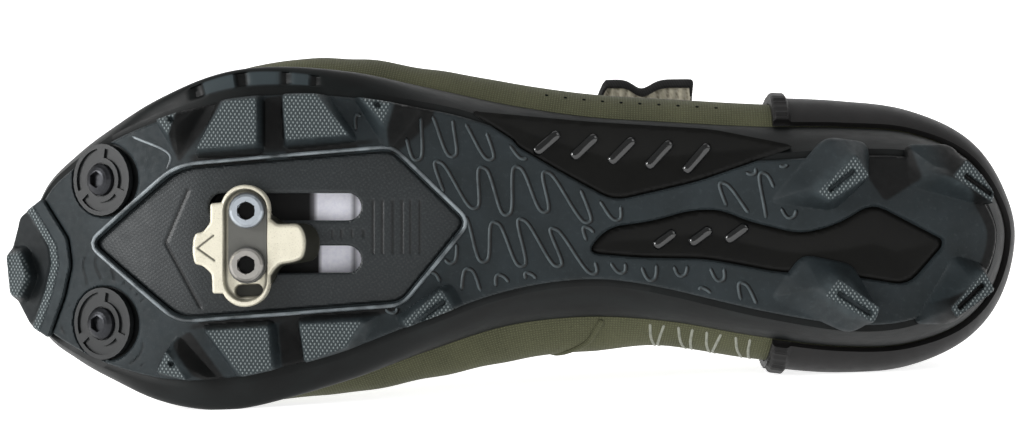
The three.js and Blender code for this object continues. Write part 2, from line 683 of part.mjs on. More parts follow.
STUDS.forEach(({ name, along, across }) => {
  const x = along * length;
  const y = (across * soleWidth) / 2;
  const place = tilted(x, y);
  const seat = cylinder(plugRadius + clearance, 0, 0, below, seatTop, plugSides).applyMatrix4(place);
  outsole = outsole.subtract(solid(seat));
  let plug = solid(cylinder(plugRadius, 0, 0, -plugThick + plugTop, plugTop, plugSides));
  plug = plug.subtract(solid(cylinder(studHead / 2 + clearance, 0, 0, below, -wellFloor + plugTop)));
  for (let i = 0; i < 3; i += 1) {
    const [near, far, sweep] = [plugRadius * 0.62, plugRadius * 0.88, (2 * Math.PI) / 3 - 2 * arcGap];
    const arc = new THREE.RingGeometry(near, far, arcSteps, 1, arcGap, sweep);
    const flat = [];
    const p = arc.attributes.position;
    const corner = (q) => new THREE.Vector2(p.getX(q), p.getY(q));
    for (let q = 0; q <= arcSteps; q += 1) flat.push(corner(q));
    for (let q = arcSteps; q >= 0; q -= 1) flat.push(corner(arcSteps + 1 + q));
    const turned = flat.map((v) => v.rotateAround(new THREE.Vector2(), (i * 2 * Math.PI) / 3 + Math.PI / 2));
    const low = ring(ccw(turned), below);
    const high = ring(ccw(turned), -arcFloor + plugTop);
    plug = plug.subtract(solid(prism(low, high)));
  }
  part(`stud_plug_${name}`, geometryFrom(plug).applyMatrix4(place), 0x2e3336, 0.6);
  const r = studHead / 2;
  const base = plugTop - wellFloor - clearance;
  const profile = [new THREE.Vector2(0, base)];
  profile.push(new THREE.Vector2(r, base));
  for (let q = 1; q <= 5; q += 1) {
    const a = (q * Math.PI) / 12;
    profile.push(new THREE.Vector2(r * Math.cos(a * 0.9), base - domeEdge - r * domeRise * Math.sin(a)));
  }
  const crown = base - domeEdge - r * domeRise;
  profile.push(new THREE.Vector2(0, crown));
  const dome = new THREE.LatheGeometry(profile, boltSides);
  dome.rotateX(Math.PI / 2);
  const domeSolid = solid(geometryOf(Array.from(dome.toNonIndexed().attributes.position.array)));
  const screw = domeSolid.subtract(socket(studHex, hexDeep * 0.8, crown));
  part(`stud_screw_${name}`, geometryFrom(screw).applyMatrix4(place), 0x17181a, 0.3, 0.7);
});
part("sole_shell", geometryFrom(shell), 0x161b1c, 0.45);
part("outsole", geometryFrom(outsole), 0x30383e, 0.75);
part("toe_bumper", geometryFrom(bumper), 0x30383e, 0.75);

// Cleat: an oblong body across the sole with a front and a rear tongue, bevelled edges.
const cleatBack = plateHeight - clearance;
const cleatFace = cleatBack - cleatThick;
const bevel = 0.8;
function cleatOutline() {
  const r = cleatBody / 2 - bevel;
  const h = cleatAcross / 2 - bevel;
  const tail = cleatTail / 2 - bevel;
  const half = cleatLong / 2 - bevel;
  const step = 2.6; // the block stands this far past the front tongue
  const nose = 7.8; // half length of the body's straight back
  const block = 3; // fore and aft length of the block
  const corner = 2; // cut at the rear tongue's end
  const shape = new THREE.Shape();
  shape.absarc(0, h - r, r, 0, Math.PI, false);
  shape.lineTo(-r, nose);
  shape.lineTo(-r - corner / 2, tail);
  shape.lineTo(-half + corner, tail);
  shape.lineTo(-half, tail - corner);
  shape.lineTo(-half, -tail + corner);
  shape.lineTo(-half + corner, -tail);
  shape.lineTo(-r - corner / 2, -tail);
  shape.lineTo(-r, -nose);
  shape.absarc(0, -h + r, r, Math.PI, 2 * Math.PI, false);
  shape.lineTo(r, -nose - step);
  shape.lineTo(r + block, -nose - step);
  shape.lineTo(r + block, -tail);
  shape.lineTo(half - corner / 2, -tail);
  shape.lineTo(half, -tail + block);
  shape.lineTo(half, tail - block);
  shape.lineTo(half - corner / 2, tail);
  shape.lineTo(r + block, tail);
  shape.lineTo(r + block, nose + step);
  shape.lineTo(r, nose + step);
  return shape;
}
const cleatSettings = {
  depth: cleatThick - 2 * bevel, bevelEnabled: true, bevelThickness: bevel, bevelSize: bevel,
  bevelSegments: 1, curveSegments: 8,
};
const cleatRaw = new THREE.ExtrudeGeometry(cleatOutline(), cleatSettings);
cleatRaw.translate(0, 0, cleatFace + bevel);
let cleat = solid(cleatRaw);
const recessWidth = 10.6;
const recessLong = cleatAcross - 3;
const recessDepth = 2.4;
const slotPlay = 0.8; // beside the bolts' shanks
function across(width, long, low, high) {
  const half = long / 2 - width / 2;
  const outline = slotOutline(-half, half, 0, width).map((p) => new THREE.Vector2(-p.y, p.x));
  return solid(prism(ring(ccw(outline), low), ring(ccw(outline), high)));
}
cleat = cleat.subtract(across(recessWidth, recessLong, below, cleatFace + recessDepth));
cleat = cleat.subtract(across(boltShank + 2 * slotPlay, recessLong - recessWidth / 2, below, above));
const washerLong = boltSpacing + recessWidth - 2 * clearance;
let washer = across(recessWidth - 2 * clearance, washerLong, 0, washerThick);
[1, -1].forEach((side) => {
  const hole = cylinder(boltShank / 2 + clearance, 0, (side * boltSpacing) / 2, below, above);
  washer = washer.subtract(solid(hole));
});
const washerGeometry = geometryFrom(washer);
washerGeometry.translate(boltX, boltY, cleatFace + recessDepth - clearance - washerThick);
const cleatGeometry = geometryFrom(cleat);
cleatGeometry.translate(boltX, boltY, 0);
part("cleat", cleatGeometry, 0xe1dccd, 0.35, 0.9);
part("cleat_washer", washerGeometry, 0x5a5a58, 0.5, 0.8);

// Bolts: a chamfered head on the washer and a shank that ends inside the shell's slot.
const headLow = cleatFace + recessDepth - washerThick - 2 * clearance;
const headTall = 2.6;
const headBevel = 0.9;
const shankEnd = plateHeight + shellFloor * 0.8;
Object.entries(boltYs).forEach(([name, y]) => {
  const r = boltHead / 2;
  const outline = [
    [0, headLow - headTall], [r - headBevel, headLow - headTall],
    [r, headLow - headTall + headBevel], [r, headLow],
    [boltShank / 2, headLow], [boltShank / 2, shankEnd], [0, shankEnd],
  ].map(([a, b]) => new THREE.Vector2(a, b));
  const turned = new THREE.LatheGeometry(outline, boltSides);
  turned.rotateX(Math.PI / 2);
  let bolt = solid(geometryOf(Array.from(turned.toNonIndexed().attributes.position.array)));
  bolt = bolt.subtract(socket(boltHex, hexDeep, headLow - headTall));
  const g = geometryFrom(bolt);
  g.translate(boltX, y, 0);
  part(`cleat_bolt_${name}`, g, name === "outer" ? 0x828c96 : 0x96948f, 0.3, 0.9);
});

// Insole: lies on the shell's floor inside the rim.
const insoleRows = rim.map((place) => {
  const inset = rimWidth + shellInset + 2 * clearance;
  const low = (p) => Math.min(undersideAt(p.x) + shellFloor, seamAt(p.x) - 2 * clearance) + 2 * clearance;
  const at = (f, extra, lift) => {
    const p = towards(place, f, inset + extra, 0);
    p.z = low(p) + lift;
    return p;
  };
  return [
    ...COARSE.map((f) => at(f, rimRound, insoleThick)),
    at(0, 0, insoleThick * 0.4),
    ...ACROSS.map((f) => at(f, 0, 0)).reverse(),
  ];
});
part("insole", geometryFrom(rimSolid(insoleRows)), 0xcdcddc, 0.8);

// Upper: outer and inner face joined at the bottom, then opened at collar and throat.
const STEPS = [0, 0.08, 0.16, 0.25, 0.34, 0.43, 0.52, 0.62, 0.72, 0.82, 0.91, 1];
const upperList = [];
const outerRows = shares.map((q) => STEPS.map((t) => upperPoint(q, t, 0)));
const innerRows = shares.map((q) => STEPS.map((t) => {
  return t === 0 ? rimPoint(placeAt(q), upperWall, placeAt(q).seam.z) : upperPoint(q, t, -upperWall);
}));
addGrid(upperList, outerRows, true);
addGrid(upperList, innerRows.map((row) => row.slice().reverse()), true);
addGrid(upperList, outerRows.map((row, i) => [innerRows[i][0], row[0]]), true);
let upper = solid(geometryOf(upperList));

// Side view of the collar's cutter, x as a share of length, z from the collar heights.
const throatEnd = 0.415 * length;
const throatTip = 0.69 * length;
const collarLine = new THREE.SplineCurve([
  new THREE.Vector2(-0.06 * length, collarBack + 3),
  new THREE.Vector2(0.03 * length, collarBack),
  new THREE.Vector2(0.12 * length, (collarBack + collarSide) / 2),
  new THREE.Vector2(0.21 * length, collarSide),
  new THREE.Vector2(0.3 * length, collarSide + 0.16 * (collarFront - collarSide)),
  new THREE.Vector2(0.375 * length, collarSide + 0.72 * (collarFront - collarSide)),
  new THREE.Vector2(throatEnd, collarFront),
]).getPoints(20);
function sidePrism(points, y0, y1) {
  const outline = ccw(points);
  const near = outline.map((p) => new THREE.Vector3(p.x, p.y, y0));
  const far = outline.map((p) => new THREE.Vector3(p.x, p.y, y1));
  const g = prism(near, far);
  g.rotateX(Math.PI / 2);
  return solid(g);
}
const collarOutline = [
  ...collarLine, new THREE.Vector2(throatEnd, above), new THREE.Vector2(-0.06 * length, above),
];
upper = upper.subtract(sidePrism(collarOutline, -soleWidth, soleWidth));
const throatRound = 8;
const halfThroat = [
  [throatEnd - 14, throatEnd, 0.5], [throatEnd + 4, throatEnd, 0.5],
  [throatTip - throatRound, throatTip, 0.27], [throatTip, throatTip, 0.12],
];
const throatSide = (sign) => halfThroat.map(([x, at, share]) => {
  return new THREE.Vector2(x, centreAt(at) + sign * share * throatWidth);
});
const throatOutline = [...throatSide(-1), ...throatSide(1).reverse()];
const throatFloor = seamAt(throatTip) + instepHeight * 0.25;
upper = upper.subtract(solid(prism(ring(throatOutline, throatFloor), ring(throatOutline, above))));
part("upper", geometryFrom(upper), 0x464b32, 0.75);

// A thick sheet from rows of { low, high } points.
function sheet(rows) {
  const list = [];
  const low = rows.map((row) => row.map((c) => c.low));
  const high = rows.map((row) => row.map((c) => c.high));
  addGrid(list, high, false);
  addGrid(list, low.map((row) => row.slice().reverse()), false);
  addGrid(list, high.map((row, i) => [low[i][0], row[0]]), false);
  addGrid(list, high.map((row, i) => [row[row.length - 1], low[i][row.length - 1]]), false);
  const edge = (i, flip) => {
    const pair = low[i].map((p, j) => [p, high[i][j]]);
    addGrid(list, flip ? pair.reverse() : pair, false);
  };
  edge(0, true);
  edge(rows.length - 1, false);
  return solid(geometryOf(list));
}
// Two points over one place of the upper's face, at two lifts.
function overFace(share, s, low, high) {
  return { low: upperPoint(share, s, low), high: upperPoint(share, s, high) };
}

// Heel cup: a moulded shell round the heel with a raised front edge on both sides.
const cupFront = 0.235 * length;
const cupRib = 1.4;
const cupRibWidth = 4.5;
const cupTop = 0.41;
const cupOut = shareAt("out", cupFront);
const cupInn = shareAt("inn", cupFront) - 1;
const ribOut = shareAt("out", cupFront - cupRibWidth);
const ribInn = shareAt("inn", cupFront - cupRibWidth) - 1;
const ribSlope = 0.002;
const allShares = [...shares, ...shares.map((q) => q - 1)];
const cupMiddle = allShares.filter((q) => q > ribInn + ribSlope && q < ribOut - ribSlope);
cupMiddle.sort((a, b) => a - b);
const cupShares = [cupInn, ribInn, ribInn + ribSlope, ...cupMiddle, ribOut - ribSlope, ribOut, cupOut];
const cupRows = cupShares.map((share, i) => {
  const rib = i < 2 || i > cupShares.length - 3 ? cupRib : 0;
  const top = cupTop - 0.05 * (Math.abs(share) / cupOut) ** 2;
  const full = clearance + cupWall + rib;
  const steps = [0.03, 0.08, 0.16, 0.25, 0.34].map((t) => overFace(share, t, clearance, full));
  return [...steps, overFace(share, top, clearance, clearance + (cupWall + rib) * 0.6)];
});
part("heel_cup", geometryFrom(sheet(cupRows)), 0x2d2a2a, 0.55);

// Tongue: under the throat, rising above the collar. Its outer wing spills over the edge.
const tongueFront = 0.7 * length;
const tongueBack = 0.3 * length;
const wingReach = 19;
const wingDrop = 7;
const tongueDrop = upperWall + 0.6;
const tongueRows = [];
for (let i = 0; i <= 15; i += 1) {
  const x = THREE.MathUtils.lerp(tongueFront, tongueBack, i / 15);
  const behind = throatEnd - x;
  const edge = 0.68 + 0.1 * THREE.MathUtils.smoothstep(behind, -10, 3);
  const wing = THREE.MathUtils.smoothstep(behind, 3, 16);
  const qOut = shareAt("out", x);
  const cell = (share, f, reach) => {
    const t = THREE.MathUtils.lerp(edge, 1, f);
    const pair = overFace(share, t, -tongueDrop - tongueThick, -tongueDrop);
    const far = reach * wing * (1 - f) ** 1.5;
    const shift = placeAt(share).outward.clone().multiplyScalar(far * wingReach);
    shift.z = -far * wingDrop;
    pair.low.add(shift);
    pair.high.add(shift);
    return pair;
  };
  const outer = [0, 0.25, 0.5, 0.75, 1].map((f) => cell(qOut, f, 1));
  tongueRows.push([...outer, ...[0.75, 0.5, 0.25, 0].map((f) => cell(1 - qOut, f, 0))]);
}
part("tongue", geometryFrom(sheet(tongueRows)), 0xbeb9a5, 0.85);

// Straps across the throat, each a band just over the upper's face.
const STRAPS = [
  { name: "strap_toe", from: 0.615, to: 0.655 },
  { name: "strap_mid", from: 0.525, to: 0.57 },
  { name: "strap_instep", from: 0.43, to: 0.495 },
];
const strapAcross = [0.52, 0.62, 0.72, 0.82, 0.91, 1];
STRAPS.forEach(({ name, from, to }) => {
  const rows = [0, 0.5, 1].map((f) => {
    const qOut = shareAt("out", THREE.MathUtils.lerp(from, to, f) * length);
    const cell = (share, t) => overFace(share, t, 2 * clearance, 2 * clearance + strapThick);
    const outer = strapAcross.map((t) => cell(qOut, t));
    return [...outer, ...strapAcross.slice(0, -1).reverse().map((t) => cell(1 - qOut, t))];
  });
  part(name, geometryFrom(sheet(rows)), 0x1f2322, 0.7);
});

// The shoe lies on its inner side: on the face of its hull that carries the centre of mass.
const density = { steel: 7.8, rubber: 1.15, shell: 1.1, cloth: 0.3 };
function densityOf(name) {
  if (name.startsWith("cleat") || name.startsWith("stud_screw")) return density.steel;
  if (name === "outsole" || name === "toe_bumper" || name.startsWith("stud")) return density.rubber;
  return name === "sole_shell" || name === "heel_cup" ? density.shell : density.cloth;
}
const shoe = new THREE.Group();
parts.forEach((mesh) => shoe.add(mesh));
const massCentre = new THREE.Vector3();
const corners = [];
let mass = 0;
parts.forEach(({ name, geometry }) => {
  const p = geometry.attributes.position;
  const point = (i) => new THREE.Vector3().fromBufferAttribute(p, i);
  for (let i = 0; i < p.count; i += 1) corners.push(point(i));
  for (let i = 0; i < geometry.index.count; i += 3) {
    const [a, b, c] = [0, 1, 2].map((q) => point(geometry.index.getX(i + q)));
    const m = (a.dot(b.clone().cross(c)) / 6) * densityOf(name);
    mass += m;
    massCentre.addScaledVector(a.add(b).add(c), m / 4);
  }
});
massCentre.divideScalar(mass);
const innerSide = new THREE.Vector3(0, -1, 0);
const resting = new ConvexHull().setFromPoints(corners).faces.filter((f) => {
  if (f.normal.dot(innerSide) < 0.7) return false;
  const points = [];
  let edge = f.edge;
  do {
    points.push(edge.head().point);
    edge = edge.next;
  } while (edge !== f.edge);
  return points.every((p, i) => {
    const next = points[(i + 1) % points.length];
    const side = next.clone().sub(p).cross(massCentre.clone().sub(p));
    return side.dot(f.normal) >= 0;
  });
});
resting.sort((a, b) => b.normal.dot(innerSide) - a.normal.dot(innerSide));
shoe.quaternion.setFromUnitVectors(resting[0].normal, new THREE.Vector3(0, 0, -1));
const treadWay = new THREE.Vector3(0, 0, -1).applyQuaternion(shoe.quaternion);
const heading = new THREE.Group();
heading.rotation.z = -Math.PI / 2 - Math.atan2(treadWay.y, treadWay.x);
heading.add(shoe);
const group = new THREE.Group();
group.add(heading);
group.updateMatrixWorld(true);
const box = new THREE.Box3().setFromObject(group, true);
group.position.set(-(box.min.x + box.max.x) / 2, -(box.min.y + box.max.y) / 2, -box.min.z);

export default group;
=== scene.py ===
# %% [markdown]
# # A left cycling shoe that lies on its inner side
# The photograph looks straight at the tread, so the sole gets most of the work here:
# rubber with lugs, a black composite plate, a steel cleat in two slots. The upper, heel
# cup, tongue and straps are made as well, because the shoe is seen from all sides.

# %% The frame
import math

import bmesh
import bpy
import numpy as np
from mathutils import Matrix, Vector


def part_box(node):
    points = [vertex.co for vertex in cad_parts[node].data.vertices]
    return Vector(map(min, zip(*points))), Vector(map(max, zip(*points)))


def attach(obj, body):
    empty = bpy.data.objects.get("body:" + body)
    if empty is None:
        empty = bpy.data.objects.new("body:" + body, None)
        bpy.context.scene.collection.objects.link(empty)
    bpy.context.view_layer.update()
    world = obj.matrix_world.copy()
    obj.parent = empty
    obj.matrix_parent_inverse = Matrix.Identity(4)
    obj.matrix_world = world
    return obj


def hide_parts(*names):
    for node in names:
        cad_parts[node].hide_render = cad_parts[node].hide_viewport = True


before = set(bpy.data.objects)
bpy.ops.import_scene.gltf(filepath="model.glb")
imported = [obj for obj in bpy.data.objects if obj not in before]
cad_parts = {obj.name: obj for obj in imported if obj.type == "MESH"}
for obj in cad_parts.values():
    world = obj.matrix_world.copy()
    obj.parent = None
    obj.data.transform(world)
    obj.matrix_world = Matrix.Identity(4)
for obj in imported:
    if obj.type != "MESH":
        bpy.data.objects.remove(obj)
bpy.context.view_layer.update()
print("solids in the frame:", len(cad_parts))

# %% [markdown]
# ## One frame for all pieces
# Everything is drawn on a standing shoe in millimetres: x from heel to toe, y to the outer
# side, z up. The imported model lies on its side, so each point is turned and shifted into
# the frame at the very end. Turning points, not objects, keeps each object at the origin.

# %% From the standing shoe to the frame
MM = 0.001
LENGTH = 272.0
WIDTH = 88.0
TURN = np.array([[-0.999012, 0.044436, 0.0], [0.00088, 0.019773, 0.999804], [0.044428, 0.998817, -0.019792]])
SHIFT = np.array([134.4857, -60.0792, 34.9184])


def to_frame(points):
    """Metres in the frame: the standing shoe's point turned, shifted and scaled."""
    return (np.asarray(points, float) @ TURN.T + SHIFT) * MM


BOLT_X = 0.7485 * LENGTH
BOLT_Y = 1.32
bolt = np.mean(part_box("cleat_bolt_outer"), axis=0) / MM
guess = to_frame([BOLT_X, BOLT_Y + 7, 5.3]) / MM
print("bolt in the frame and worked out, mm:", np.round(bolt, 1), np.round(guess, 1))

# %% [markdown]
# ## The last as short tables
# A shoe is built on a last. Its plan and profile are short tables, and a smooth curve runs
# through each column. The curve is a cubic that never overshoots its rows, so a bulge in
# the table can't turn into a wave. Shares are of the length and of the sole's width.

# %% Tables of the last
PLAN = np.array([  # along, out, inn, swell out, swell in
    [0.0, 0.03, 0.03, 0.035, 0.035], [0.012, 0.14, -0.125, 0.04, 0.04], [0.045, 0.265, -0.245, 0.05, 0.05],
    [0.1, 0.335, -0.312, 0.06, 0.062], [0.165, 0.352, -0.322, 0.07, 0.07], [0.25, 0.356, -0.292, 0.078, 0.078],
    [0.34, 0.371, -0.246, 0.08, 0.085], [0.42, 0.387, -0.232, 0.08, 0.118], [0.5, 0.423, -0.259, 0.078, 0.12],
    [0.58, 0.473, -0.335, 0.068, 0.095], [0.65, 0.512, -0.41, 0.06, 0.06], [0.71, 0.519, -0.456, 0.05, 0.03],
    [0.77, 0.499, -0.488, 0.034, 0.015], [0.83, 0.443, -0.481, 0.02, 0.012], [0.885, 0.368, -0.436, 0.012, 0.008],
    [0.935, 0.275, -0.372, 0.006, 0.006], [0.975, 0.165, -0.29, 0.002, 0.002], [1.0, -0.07, -0.07, 0.0, 0.0],
])
PROFILE = np.array([  # along, toe, arch, heel, bevel, side, ridge, square
    [0.0, 0, 0, 1, 1, 0.78, 1.15, 3.2], [0.03, 0, 0, 1, 0.36, 1.0, 1.15, 3.2], [0.075, 0, 0, 1, 0.03, 1.2, 1.15, 3.2],
    [0.16, 0, 0.03, 1, 0, 1.18, 1.14, 3.1], [0.25, 0, 0.45, 0.8, 0, 0.98, 1.11, 3.0],
    [0.34, 0, 0.92, 0.35, 0, 0.88, 1.05, 2.7], [0.42, 0, 1.0, 0.05, 0, 0.88, 0.98, 2.4],
    [0.5, 0, 0.78, 0, 0, 0.92, 0.84, 2.3], [0.58, 0, 0.34, 0, 0, 0.92, 0.72, 2.25],
    [0.66, 0, 0.05, 0, 0, 0.86, 0.645, 2.2], [0.74, 0, 0, 0, 0, 0.84, 0.595, 2.2],
    [0.79, 0.035, 0, 0, 0, 0.86, 0.56, 2.2], [0.84, 0.15, 0, 0, 0, 0.9, 0.5, 2.2],
    [0.89, 0.345, 0, 0, 0, 0.92, 0.41, 2.2], [0.945, 0.65, 0, 0, 0, 0.86, 0.3, 2.2],
    [1.0, 1, 0, 0, 0, 0.78, 0.24, 2.2],
])
UNDER = np.array([  # along, inset out, inset inn, proud, hold
    [0.0, 0.05, 0.05, 0, 1.6], [0.06, 0.06, 0.07, 0, 1.6], [0.16, 0.07, 0.055, 0, 1.6], [0.3, 0.095, 0.07, 0, 1.6],
    [0.42, 0.095, 0.1, 0, 1.5], [0.55, 0.05, 0.08, 0, 1.8], [0.66, 0.06, 0.07, 0.004, 5],
    [0.77, 0.055, 0.065, 0.015, 14], [0.84, 0.045, 0.05, 0.008, 7], [0.9, 0.03, 0.035, 0.002, 2.5],
    [1.0, 0.02, 0.02, 0, 1.6],
])


def column(table, number):
    """Monotone cubic through one column: each inner slope is the harmonic mean of its neighbours' rises."""
    x, y = table[:, 0], table[:, number]
    rise = np.diff(y) / np.diff(x)
    both = rise[:-1] * rise[1:]
    total = np.where(both > 0, rise[:-1] + rise[1:], 1)
    slope = np.concatenate([rise[:1], np.where(both > 0, 2 * both / total, 0), rise[-1:]])

    def at(share):
        t = np.clip(share, x[0], x[-1])
        i = np.clip(np.searchsorted(x, t, side="right") - 1, 0, len(x) - 2)
        h = x[i + 1] - x[i]
        s = (t - x[i]) / h
        value = (1 + 2 * s) * (1 - s) ** 2 * y[i] + s * s * (3 - 2 * s) * y[i + 1]
        return value + h * (s * (1 - s) ** 2 * slope[i] - s * s * (1 - s) * slope[i + 1])

    return at


swell_out, swell_inn = column(PLAN, 3), column(PLAN, 4)
toe_at, arch_at, heel_at, bevel_at, side_at, ridge_at, square_at = [column(PROFILE, k) for k in range(1, 8)]
inset_out, inset_inn, proud_at, hold_at = [column(UNDER, k) for k in range(1, 5)]
print("swell at the ball, mm:", round(float(swell_out(0.7)) * WIDTH, 1))

# %% [markdown]
# ## Heights and the seam's outline
# The underside rises at the toe, the waist and the heel. The seam, where the upper meets
# the sole, runs round the shoe. Its two halves are centripetal Catmull-Rom curves, which
# pass through every row of the plan and stay free of loops at the tight toe.

# %% Heights and outline
PLATE_HEIGHT, TOE_SPRING, ARCH_RISE, HEEL_RISE, HEEL_BEVEL, SIDE = 8.5, 30.0, 8.5, 3.5, 9.0, 12.0
INSTEP, SWELL_HEIGHT, RIDGE_PULL = 88.0, 11.0, 0.75


def underside(x):
    """Underside of the shell: the four rises of the profile added to the plate's height."""
    a = x / LENGTH
    ends = TOE_SPRING * toe_at(a) + HEEL_RISE * heel_at(a) + HEEL_BEVEL * bevel_at(a)
    return PLATE_HEIGHT + ARCH_RISE * arch_at(a) + ends


def seam_height(x):
    """Seam with the upper: the underside plus the side wall."""
    return underside(x) + SIDE * side_at(x / LENGTH)


def catmull_rom(points, per):
    """Centripetal Catmull-Rom: Hermite cubics whose slopes weigh gaps by the root of their length."""
    p = np.vstack([2 * points[0] - points[1], points, 2 * points[-1] - points[-2]])
    p0, p1, p2, p3 = p[:-3], p[1:-2], p[2:-1], p[3:]
    d0, d1, d2 = [np.sqrt(np.linalg.norm(b - a, axis=1))[:, None] for a, b in ((p0, p1), (p1, p2), (p2, p3))]
    m1 = ((p1 - p0) / d0 - (p2 - p0) / (d0 + d1) + (p2 - p1) / d1) * d1
    m2 = ((p2 - p1) / d1 - (p3 - p1) / (d1 + d2) + (p3 - p2) / d2) * d1
    s = np.linspace(0, 1, per, endpoint=False)[None, :, None]
    p1, p2, m1, m2 = [q[:, None, :] for q in (p1, p2, m1, m2)]
    curve = (2 * s**3 - 3 * s**2 + 1) * p1 + (s**3 - 2 * s**2 + s) * m1
    curve = curve + (3 * s**2 - 2 * s**3) * p2 + (s**3 - s**2) * m2
    return np.vstack([curve.reshape(-1, points.shape[1]), points[-1:]])


def half_outline(mine, other):
    """Seam from heel to toe on one side, as points a share of the half's length apart."""
    scale = np.array([LENGTH, WIDTH])
    rows = [PLAN[k][[0, other]] for k in (2, 1)] + [PLAN[k][[0, mine]] for k in range(len(PLAN))]
    rows += [PLAN[-k][[0, other]] for k in (2, 3)]
    dense = catmull_rom(np.array(rows) * scale, 60)
    ends = [int(np.argmin(np.linalg.norm(dense - PLAN[k][[0, mine]] * scale, axis=1))) for k in (0, -1)]
    dense = dense[ends[0]:ends[1] + 1]
    gone = np.concatenate([[0], np.cumsum(np.linalg.norm(np.diff(dense, axis=0), axis=1))])
    return gone / gone[-1], dense


HALVES = {"out": half_outline(1, 2), "inn": half_outline(2, 1)}


def seam_plan(side, t):
    """Point of the seam at share t of one half."""
    gone, dense = HALVES[side]
    return np.stack([np.interp(t, gone, dense[:, k]) for k in (0, 1)], axis=-1)


MIDDLE_T = np.linspace(0, 1, 241)
MIDDLE = (seam_plan("out", MIDDLE_T) + seam_plan("inn", MIDDLE_T)) / 2
print("seam's length, mm:", round(sum(float(np.linalg.norm(np.diff(d, axis=0), axis=1).sum()) for _, d in HALVES.values())))

# %% [markdown]
# ## Places round the shoe and the upper's face
# One number, the share of the way round the seam, finds a place: 0 is the heel, 0.5 the
# toe, reached along the outer side. A second number climbs from the seam, 0, to the ridge,
# 1. The section is a superellipse, with a swell just over the sole where a foot is widest.

# %% Places and the upper's face
HEEL_POLE, TOE_POLE = 0.2, 0.935


def place(share):
    """Seam point, outward direction, spine point and swell for shares of the way round."""
    q = np.mod(np.asarray(share, float) + 2, 1)
    outer = q <= 0.5
    t = np.where(outer, 2 * q, 2 * (1 - q))
    pick = outer[..., None]
    seam = np.where(pick, seam_plan("out", t), seam_plan("inn", t))
    e = 0.004
    ahead, behind = np.clip(t + e, 0, 1), np.clip(t - e, 0, 1)
    run = np.where(pick, seam_plan("out", ahead) - seam_plan("out", behind), seam_plan("inn", ahead) - seam_plan("inn", behind))
    sign = np.where(outer, 1.0, -1.0)
    outward = np.stack([-run[..., 1] * sign, run[..., 0] * sign], axis=-1)
    outward /= np.linalg.norm(outward, axis=-1, keepdims=True)
    outward = np.where((t < e / 2)[..., None], [-1.0, 0.0], np.where((t > 1 - e / 2)[..., None], [1.0, 0.0], outward))
    mx = np.interp(t, MIDDLE_T, MIDDLE[:, 0])
    sx = np.clip(mx, HEEL_POLE * LENGTH, TOE_POLE * LENGTH)
    spine = np.stack([sx, np.interp(sx, MIDDLE[:, 0], MIDDLE[:, 1])], axis=-1)
    swell = np.where(outer, swell_out(seam[..., 0] / LENGTH), swell_inn(seam[..., 0] / LENGTH)) * WIDTH
    return seam, outward, spine, swell


def ridge_height(x):
    """Top of the section: the instep's ridge over the seam."""
    return seam_height(x) + INSTEP * ridge_at(x / LENGTH)


def upper_face(share, s):
    """Superellipse from the seam up to the spine, plus a swell of h e^(1-h) at height h."""
    seam, outward, spine, swell = place(share)
    low = seam_height(seam[..., 0])
    square = square_at(seam[..., 0] / LENGTH)
    angle = np.clip(s, 0, 1) ** (RIDGE_PULL * square) * np.pi / 2
    inward = 1 - np.clip(np.cos(angle), 0, 1) ** (2 / square)
    rise = np.sin(angle) ** (2 / square) * (ridge_height(spine[..., 0]) - low)
    h = rise / SWELL_HEIGHT
    bulge = swell * h * np.exp(1 - h) * (1 - s**4)
    plan = seam + (spine - seam) * inward[..., None] + outward * bulge[..., None]
    return np.concatenate([plan, (low + rise)[..., None]], axis=-1)


def unit(v):
    """Vectors scaled to length one."""
    return v / np.maximum(np.linalg.norm(v, axis=-1, keepdims=True), 1e-12)


def upper_point(share, s, lift):
    """The face moved out along its normal, which is the cross product of two short steps."""
    share, s = np.broadcast_arrays(np.asarray(share, float), np.asarray(s, float))
    p = upper_face(share, s)
    across = upper_face(share, np.minimum(s + 0.02, 0.995)) - upper_face(share, np.maximum(s - 0.02, 0.02))
    along = upper_face(share + 0.004, s) - upper_face(share - 0.004, s)
    seam, outward, spine, _ = place(share)
    flat = np.concatenate([outward[..., 1:], -outward[..., :1], np.zeros_like(outward[..., :1])], axis=-1)
    along = np.where(np.linalg.norm(along, axis=-1, keepdims=True) < 1e-2, flat, along)
    normal = unit(np.cross(across, along))
    facing = (normal[..., :2] * outward).sum(-1) + 0.5 * normal[..., 2]
    normal = np.where(((facing < 0) & (s > 0.25))[..., None], -normal, normal)
    slope = (ridge_height(spine[..., 0] + 1) - ridge_height(spine[..., 0] - 1)) / 2
    top = unit(np.stack([-slope, np.zeros_like(slope), np.ones_like(slope)], axis=-1))
    normal = np.where((s > 0.999)[..., None], top, normal)
    return p + normal * np.asarray(lift)[..., None]


def share_at(side, x):
    """Share of the way round where one side passes a distance from the heel."""
    gone, dense = HALVES[side]
    t = np.interp(x, dense[:, 0], gone)
    return t / 2 if side == "out" else 1 - t / 2


probe = upper_face(np.array([0.3, 0.7]), np.array([0.3, 0.3]))
print("two points of the upper's face, mm:", np.round(probe, 1).tolist())

# %% [markdown]
# ## From points to a piece
# A helper puts whole arrays into a mesh, welds what coincides, turns the faces outwards by
# the sign of the volume, and marks edges sharper than an angle. It also stores a flat map
# in metres and any named marks, which the finishes read to know where they are.

# %% Mesh helper
def grid_faces(n, m, wrap_n=False, wrap_m=False):
    """Four-cornered faces of an n by m grid of points, joined up where it wraps."""
    i = np.arange(n if wrap_n else n - 1)[:, None]
    j = np.arange(m if wrap_m else m - 1)[None, :]
    i2, j2 = (i + 1) % n, (j + 1) % m
    return np.stack([i * m + j, i2 * m + j, i2 * m + j2, i * m + j2], axis=-1).reshape(-1, 4)


